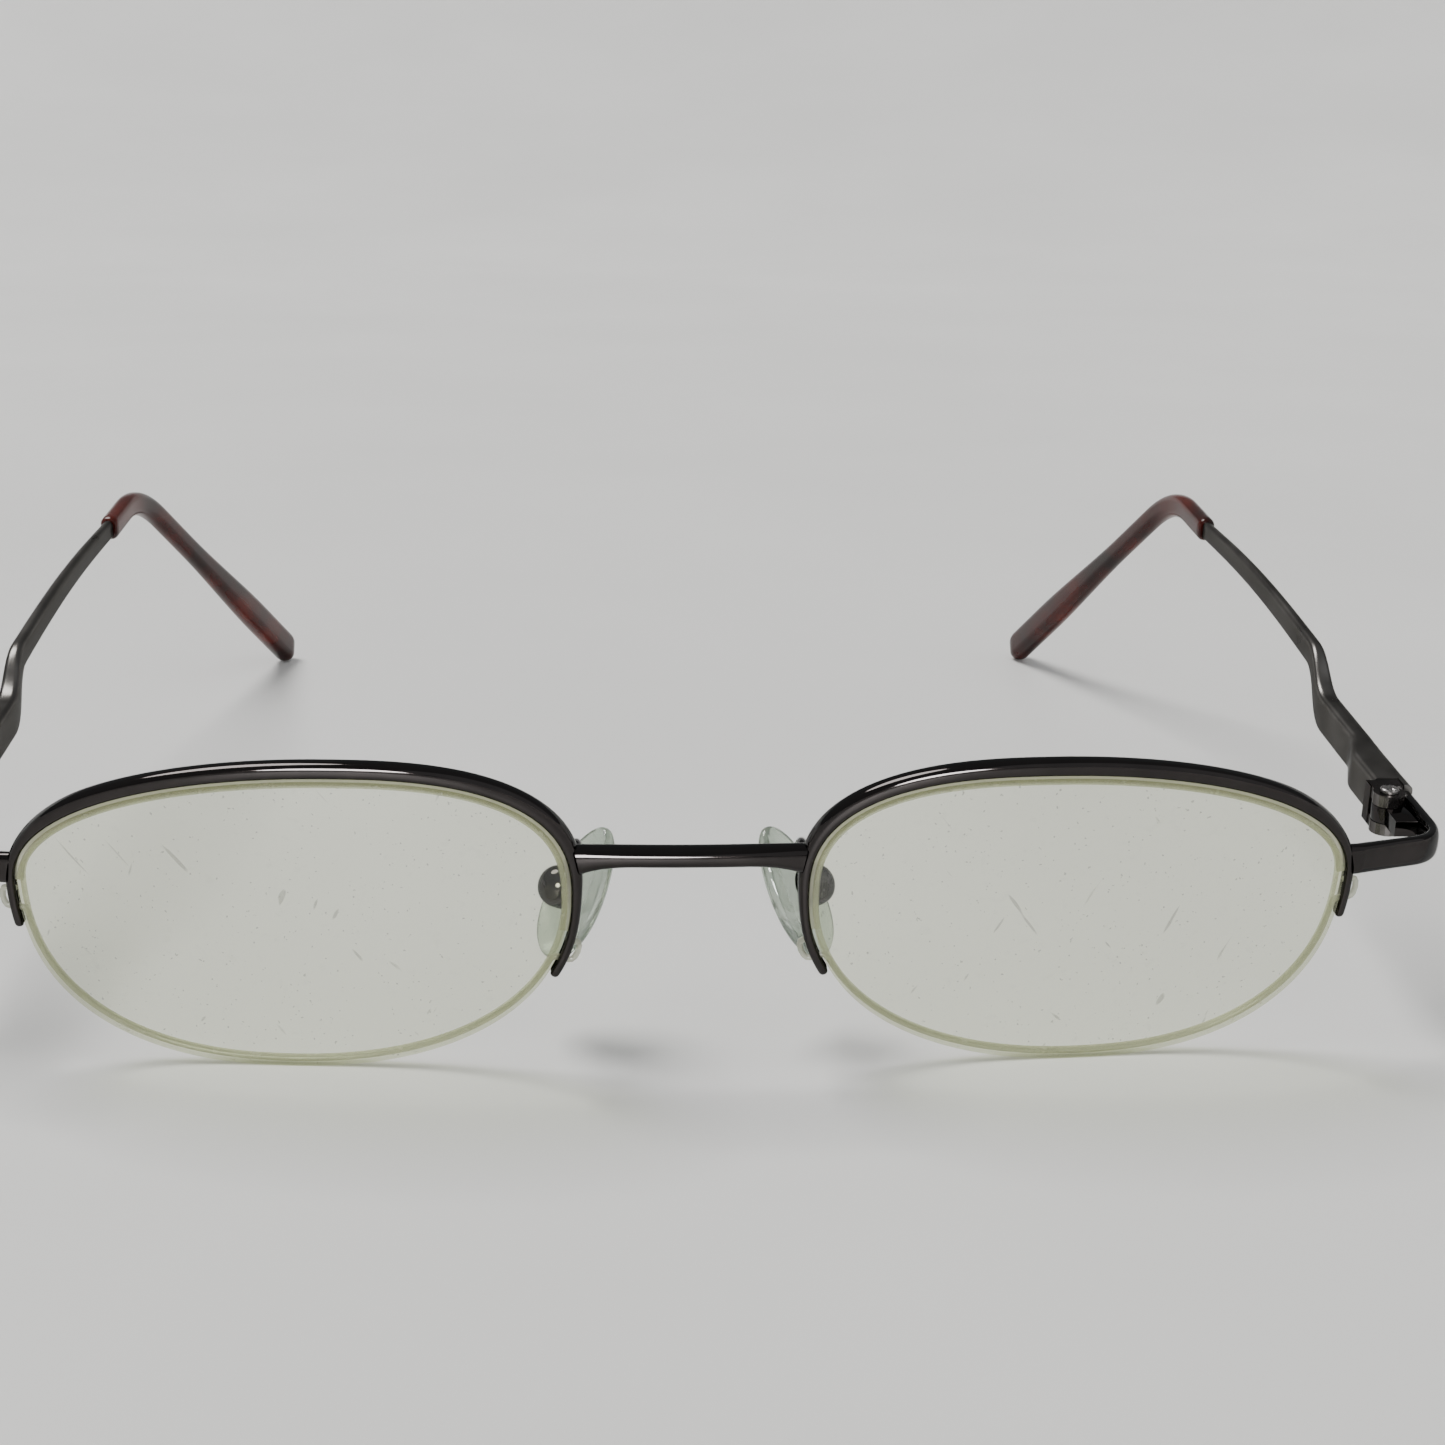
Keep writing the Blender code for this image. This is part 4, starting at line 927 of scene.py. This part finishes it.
def temple(side, tag):
    """Temple: spring box, bar, stepped neck and slim arm."""
    rings = []
    for k, (y, thick, tall, rise, middle) in enumerate(temple_rows()):
        if k == 0:
            edge = bar_section(thick - 2 * FACE_EDGE, tall - 2 * FACE_EDGE, FACE_CORNER)
            rings.append([Vector((side * (middle + a), y, HINGE_RISE + rise + u)) for a, u in edge])
            y = y + FACE_EDGE
        section = bar_section(thick, tall, min(TEMPLE_CORNER, thick * 0.45))
        rings.append([Vector((side * (middle + a), y, HINGE_RISE + rise + u)) for a, u in section])
    obj = loft("temple_" + tag, rings, TEMPLE_METAL, tag + "_temple", None, None, 40)
    xs = (side * (OUTER_X - BOX_THICK - CUT_PAST), side * (BORE_X + NOTCH_REACH))
    ys = (TEMPLE_Y - CUT_PAST, NOTCH_END)
    zs = (HINGE_RISE - BOX_TALL, HINGE_RISE + BOX_TALL)
    corners = [(x, y, z) for x in xs for y in ys for z in zs]
    block = [(0, 1, 3, 2), (4, 5, 7, 6), (0, 1, 5, 4), (2, 3, 7, 6), (0, 2, 6, 4), (1, 3, 7, 5)]
    carve(obj, corners, block)
    bore_start = Vector((side * BORE_X, NOTCH_END - BORE_OVERLAP, HINGE_RISE))
    bore_end = Vector((side * BORE_X, BORE_END, HINGE_RISE))
    drill(obj, bore_start, bore_end, SPRING_BORE / 2)


def temple_tip(side, tag):
    """Moulded tip over the core wire, bent behind the ear, with a paddle end."""
    path = along(tip_path(), 110)
    dirs = tangents(path)
    count = len(path)

    def frame_at(k):
        d = dirs[k]
        across = (Vector((1, 0, 0)) - d * d.x).normalized()
        return across, across.cross(d)

    def size(f):
        paddle = ease((f - 0.45) / 0.4)
        return TIP_THICK * (1 + 0.3 * paddle), TIP_TALL + (TIP_PADDLE - TIP_TALL) * paddle

    rings = []
    for shrink, step in ((0.80, 0.0), (0.87, 0.00010), (0.93, 0.00030)):
        across, up = frame_at(0)
        thick, tall = size(0.0)
        p = path[0] + dirs[0] * step
        section = bar_section(thick * shrink, tall * shrink, thick * 0.42 * shrink)
        rings.append([p + across * a + up * u for a, u in section])
    for k in range(1, count):
        across, up = frame_at(k)
        thick, tall = size(k / (count - 1))
        rings.append([path[k] + across * a + up * u for a, u in bar_section(thick, tall, thick * 0.46)])
    across, up = frame_at(count - 1)
    thick, tall = size(1.0)
    for k in range(1, 12):
        a = math.pi / 2 * k / 12
        shrink = math.cos(a)
        p = path[-1] + dirs[-1] * (TIP_CAP * math.sin(a))
        section = bar_section(thick * shrink, tall * shrink, thick * shrink * 0.46)
        rings.append([p + across * s + up * u for s, u in section])
    [[end]] = sided([[path[-1] + dirs[-1] * TIP_CAP]], side)
    loft("temple_tip_" + tag, sided(rings, side), TORTOISE, tag + "_temple", None, end, 40)


def pad_frame(side):
    """Pad middle, its long axis, its width axis and the axis that points away from the nose."""
    middle = Vector((side * PAD_SPREAD, PAD_SETBACK, -PAD_DROP))
    wide = Vector((side * math.sin(PAD_TURN), math.cos(PAD_TURN), 0))
    flat = Vector((side * math.cos(PAD_TURN), -math.sin(PAD_TURN), 0))
    up = Vector((0, 0, 1)) * math.cos(PAD_ROLL) - flat * math.sin(PAD_ROLL)
    away = flat * math.cos(PAD_ROLL) + Vector((0, 0, 1)) * math.sin(PAD_ROLL)
    return middle, up, wide, away


def drill_pad_screw(obj, side):
    """Take the pad screw's hole out of a skin."""
    middle, _, wide, away = pad_frame(side)
    centre = middle + away * PIVOT_OUT
    drill(obj, centre - wide * CUP_DIAMETER, centre + wide * CUP_DIAMETER, PAD_SCREW_RADIUS + FIT)


def nose_pad(side, tag):
    """Clear teardrop pad, domed toward the nose, with a lug that sits in its cup."""
    middle, up, wide, away = pad_frame(side)
    outline = []
    for i in range(64):
        t = 2 * math.pi * i / 64
        taper = 1 - 0.16 * math.sin(t)
        outline.append((math.cos(t) * PAD_WIDTH / 2 * taper, math.sin(t) * PAD_LENGTH / 2))

    def ring(scale, height):
        return [middle + wide * (a * scale) + up * (b * scale) + away * height for a, b in outline]

    dome = PAD_THICKNESS - PAD_BACK
    rings = [ring(f, -dome * (1 - 0.75 * f * f)) for f in (0.15, 0.3, 0.45, 0.6, 0.75, 0.86, 0.93, 0.97)]
    rings.append(ring(0.992, -dome * 0.17))
    rings.append(ring(1.0, -dome * 0.06))
    rings.append(ring(0.997, PAD_BACK * 0.2))
    rings.append(ring(0.985, PAD_BACK * 0.45))
    rings.extend(ring(f, PAD_BACK * (1 - 0.35 * f * f)) for f in (0.95, 0.85, 0.7, 0.5, 0.3))
    half = CUP_DIAMETER * 0.2
    top = PIVOT_OUT + CUP_DEPTH * 0.24

    def lug(height, scale):
        pts = []
        for i in range(64):
            t = 2 * math.pi * i / 64
            c = math.copysign(abs(math.cos(t)) ** 0.5, math.cos(t)) * half * scale
            s = math.copysign(abs(math.sin(t)) ** 0.5, math.sin(t)) * half * scale
            pts.append(middle + wide * c + up * s + away * height)
        return pts

    rings.append(lug(PAD_BACK * 0.97, 1.15))
    rings.append(lug(PAD_BACK * 1.1, 1.0))
    rings.append(lug(top - 0.0001, 1.0))
    rings.append(lug(top, 0.9))
    obj = loft("nose_pad_" + tag, rings, PAD, tag + "_pad", middle - away * dome, middle + away * top, 45)
    drill_pad_screw(obj, side)


def pad_cup(side, tag):
    """Round cup that holds the pad lug."""
    middle, _, _, away = pad_frame(side)
    base = middle + away * (PAD_BACK + CUP_GAP)
    r = CUP_DIAMETER / 2
    inner = r - CUP_WALL
    d = CUP_DEPTH
    floor = d - CUP_WALL
    profile = []
    for k in range(1, 17):
        a = math.pi / 2 * k / 16
        profile.append((r * math.sin(a), d * (0.35 + 0.65 * math.cos(a))))
    profile = profile + [(r, 0.00008), (r - 0.00008, 0.0), (inner, 0.0), (inner, floor - 0.23 * d)]
    profile = profile + [(inner * 0.9, floor - 0.1 * d), (inner * 0.6, floor)]
    rings = turned_rings(base, away, profile, 48)
    obj = loft("pad_cup_" + tag, rings, GUNMETAL, "front", base + away * d, base + away * floor)
    drill_pad_screw(obj, side)


def pad_screw(side, tag):
    """Cross pin of the pad: a small screw through cup and lug."""
    middle, _, wide, away = pad_frame(side)
    centre = middle + away * PIVOT_OUT
    r = PAD_SCREW_RADIUS
    half = CUP_DIAMETER / 2
    profile = [
        (r * 1.4, -half - 0.0004), (r * 1.55, -half - 0.00036), (r * 1.6, -half - 0.0002),
        (r * 1.6, -half - FIT), (r, -half - FIT), (r, half + 0.0001), (r * 0.7, half + 0.0002),
    ]
    loft("pad_screw_" + tag, turned_rings(centre, wide, profile, 28), STEEL, "front")


def pad_arm(side, tag):
    """Wire arm from the back of the rim, back and down to the top of the cup."""
    middle, up, _, away = pad_frame(side)
    r = PAD_ARM_DIAMETER / 2
    end = middle + away * (PAD_BACK + CUP_GAP + CUP_DEPTH * 0.2) + up * (CUP_DIAMETER / 2 - 0.0001)
    s = RIM_END
    while edge_at(s)[1] < BRIDGE_RISE - PAD_ROOT_DROP:
        s -= 0.0002
    root = rim_point(side, s, (RIM_CLEARANCE + rim_out_at(s)) / 2 + 0.0001, RIM_DEEP / 2 - 0.0001)
    back = worn((0, 1, 0))
    points = [root, root + back * 0.0030, end + up * 0.0021 + away * 0.0006, end]
    count = 80
    path = along(rounded_path(points, 0.0020, 16), count)
    radii = []
    for k in range(count):
        radii.append(r * (1 + 0.35 * max(1 - k / 8, 0) + 0.35 * max(1 - (count - 1 - k) / 8, 0)))
    loft("pad_arm_" + tag, tube_rings(path, radii, 20), GUNMETAL, "front")


def slab(outline, low, high, bevel):
    """Rings of a plan outline raised between two heights with softened edges."""
    count = len(outline)
    centre = Vector((sum(p[0] for p in outline) / count, sum(p[1] for p in outline) / count))
    rings = []
    steps = ((0.0, 0.9), (0.3, 0.3), (0.9, 0.0))
    order = [(low + bevel * z, inset) for z, inset in steps]
    order = order + [(high - bevel * z, inset) for z, inset in reversed(steps)]
    for z, inset in order:
        ring = []
        for x, y in outline:
            d = Vector((x, y)) - centre
            q = centre + d * (1 - inset * bevel / max(d.length, 1e-6))
            ring.append(Vector((q.x, q.y, z)))
        rings.append(ring)
    return rings


def hinge_tongue(side, tag):
    """Middle knuckle on its web, brazed inside the end piece."""
    outer = BARREL_RADIUS
    start = math.asin(min(WEB_INNER / outer, 0.9))
    plan = []
    for i in range(49):
        a = (1.5 * math.pi - start) * i / 48
        plan.append((math.cos(a) * outer, math.sin(a) * outer))
    plan.append((-math.sin(start) * outer, -WEB_REACH))
    plan.append((outer, -WEB_REACH))
    outline = [(side * (HINGE_X + x), HINGE_SETBACK + y) for x, y in plan]
    half = LEAF_TALL / 2
    rings = slab(outline, HINGE_RISE - half, HINGE_RISE + half, 0.0001)
    obj = loft("hinge_tongue_" + tag, rings, GUNMETAL, "front")
    hinge = Vector((side * HINGE_X, HINGE_SETBACK, HINGE_RISE))
    reach = Vector((0, 0, BARREL_HEIGHT))
    drill(obj, hinge - reach, hinge + reach, HINGE_SCREW_DIAMETER / 2 + FIT)


def hinge_screw(side, tag):
    """Slotted screw down the hinge axis."""
    centre = Vector((side * HINGE_X, HINGE_SETBACK, HINGE_RISE))
    half = BARREL_HEIGHT / 2
    r = HINGE_SCREW_DIAMETER / 2
    head = r * 1.55
    profile = [
        (r * 0.8, -half - 0.00010), (r, -half), (r, half + FIT), (head, half + FIT), (head, half + 0.00028),
        (head * 0.93, half + 0.00036), (head * 0.8, half + 0.00042), (head * 0.3, half + 0.00045),
    ]
    rings = turned_rings(centre, (0, 0, 1), profile, 36)
    obj = loft("hinge_screw_" + tag, rings, STEEL, tag + "_hinge")
    work = bmesh.new()
    work.from_mesh(obj.data)
    for v in work.verts:
        local = STAND.inverted() @ v.co - centre
        if local.z > half + SLOT_FROM and abs(local.x) < SLOT_HALF:
            local.z = half + SLOT_FLOOR
            v.co = STAND @ (centre + local)
    work.to_mesh(obj.data)
    work.free()


def spring(side, tag):
    """Coil spring round the fork stem, pressed against its stop as the temple slides back."""
    low = STOP_END + SPRING_WIRE / 2 + FIT
    high = NUT_START - SPRING_WIRE / 2 - FIT
    mean = SPRING_BORE / 2 - SPRING_WIRE / 2 - 2 * FIT
    steps = SPRING_TURNS * 24
    path = []
    for i in range(steps + 1):
        f = i / steps
        a = 2 * math.pi * SPRING_TURNS * f
        x = side * BORE_X + math.cos(a) * mean
        path.append(Vector((x, low + (high - low) * f, HINGE_RISE + math.sin(a) * mean)))
    rings = tube_rings(path, [SPRING_WIRE / 2] * len(path), 12)
    obj = loft("hinge_spring_" + tag, rings, STEEL, tag + "_temple", None, None, 60)
    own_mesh(obj)


bridge()
for side, tag in ((1, "right"), (-1, "left")):
    rim(side, tag)
    lens(side, tag)
    cord(side, tag)
    liner(side, tag)
    endpiece(side, tag)
    hinge_tongue(side, tag)
    hinge_screw(side, tag)
    temple(side, tag)
    temple_tip(side, tag)
    nose_pad(side, tag)
    pad_cup(side, tag)
    pad_screw(side, tag)
    pad_arm(side, tag)
    spring(side, tag)

# The forks, stops and nuts stay as they were built, in metal finishes.
for name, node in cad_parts.items():
    if name.startswith(("hinge_fork", "spring_")):
        node.data.materials.clear()
        node.data.materials.append(DARK_STEEL if name.startswith("hinge_fork") else STEEL)

# Floor that rises all round into a pale backdrop.
FLOOR_FLAT = 0.7
FLOOR_CURVE = 1.2
FLOOR_SIDES = 96
FLOOR_BANDS = 32
FLOOR_BAND_ANGLE = 1.7
floor_rings = [(FLOOR_FLAT * f, 0.0) for f in (0.25, 0.5, 0.75, 1.0)]
for k in range(1, FLOOR_BANDS + 1):
    lean = math.radians(FLOOR_BAND_ANGLE * k)
    floor_rings.append((FLOOR_FLAT + FLOOR_CURVE * math.sin(lean), FLOOR_CURVE * (1 - math.cos(lean))))
floor_verts = [(0.0, 0.0, 0.0)]
for radius, height in floor_rings:
    for i in range(FLOOR_SIDES):
        a = 2 * math.pi * i / FLOOR_SIDES
        floor_verts.append((radius * math.cos(a), radius * math.sin(a), height))
floor_faces = [(0, 1 + i, 1 + (i + 1) % FLOOR_SIDES) for i in range(FLOOR_SIDES)]
for k in range(len(floor_rings) - 1):
    for i in range(FLOOR_SIDES):
        j = (i + 1) % FLOOR_SIDES
        a = 1 + k * FLOOR_SIDES
        b = a + FLOOR_SIDES
        floor_faces.append((a + i, b + i, b + j, a + j))
sheet = bpy.data.meshes.new("floor")
sheet.from_pydata(floor_verts, [], floor_faces)
sheet.polygons.foreach_set("use_smooth", [True] * len(sheet.polygons))
floor = bpy.data.objects.new("floor", sheet)
bpy.context.scene.collection.objects.link(floor)
floor_mat, floor_nodes, floor_links, floor_shader = new_material("floor_pale")
mottle = noise(floor_nodes, floor_links, 9.0)
FLOOR_STOPS = [(0.3, (0.78, 0.78, 0.77)), (0.7, (0.83, 0.83, 0.82))]
floor_tint = ramp(floor_nodes, floor_links, mottle.outputs["Fac"], FLOOR_STOPS)
floor_links.new(floor_tint.outputs["Color"], floor_shader.inputs["Base Color"])
floor_shader.inputs["Roughness"].default_value = 0.45
sheet.materials.append(floor_mat)

# Soft studio light.
world = bpy.data.worlds.new("studio")
bpy.context.scene.world = world
world.use_nodes = True
world.node_tree.nodes["Background"].inputs["Color"].default_value = (0.83, 0.84, 0.85, 1.0)
world.node_tree.nodes["Background"].inputs["Strength"].default_value = 0.36


def soft_sun(name, place, angle, power, colour):
    """An even soft light that comes from the direction of a point."""
    data = bpy.data.lights.new(name, "SUN")
    data.angle = math.radians(angle)
    data.energy = power
    data.color = colour
    obj = bpy.data.objects.new(name, data)
    obj.location = place
    obj.rotation_euler = (-Vector(place)).to_track_quat("-Z", "Y").to_euler()
    bpy.context.scene.collection.objects.link(obj)
    return obj


soft_sun("key", (-0.35, 0.35, 0.9), 28.0, 3.0, (1.0, 0.985, 0.96))
soft_sun("fill", (0.6, -0.5, 0.6), 70.0, 0.45, (0.96, 0.98, 1.0))
# A window behind the camera that shows only as highlights.
window = soft_sun("front", (-0.15, -0.9, 0.50), 24.0, 8.0, (1.0, 1.0, 1.0))
window.visible_diffuse = False

# Camera at the photograph's angle.
CAMERA_PLACE = (-0.0071, -0.25481, 0.08613)
FOCAL_LENGTH = 57.3
SENSOR_WIDTH = 36.0
yaw = math.radians(3.0)
pitch = math.radians(16.326)
roll = math.radians(-0.671)
forward = Vector((math.sin(yaw) * math.cos(pitch), math.cos(yaw) * math.cos(pitch), -math.sin(pitch)))
right = Vector((math.cos(yaw), -math.sin(yaw), 0))
down = forward.cross(right)
cam_right = right * math.cos(roll) + down * math.sin(roll)
cam_down = down * math.cos(roll) - right * math.sin(roll)
lens_data = bpy.data.cameras.new("camera")
lens_data.lens = FOCAL_LENGTH
lens_data.sensor_width = SENSOR_WIDTH
lens_data.clip_start = 0.01
camera = bpy.data.objects.new("camera", lens_data)
turn = Matrix((cam_right, -cam_down, -forward)).transposed()
camera.matrix_world = Matrix.Translation(CAMERA_PLACE) @ turn.to_4x4()
bpy.context.scene.collection.objects.link(camera)
bpy.context.scene.camera = camera
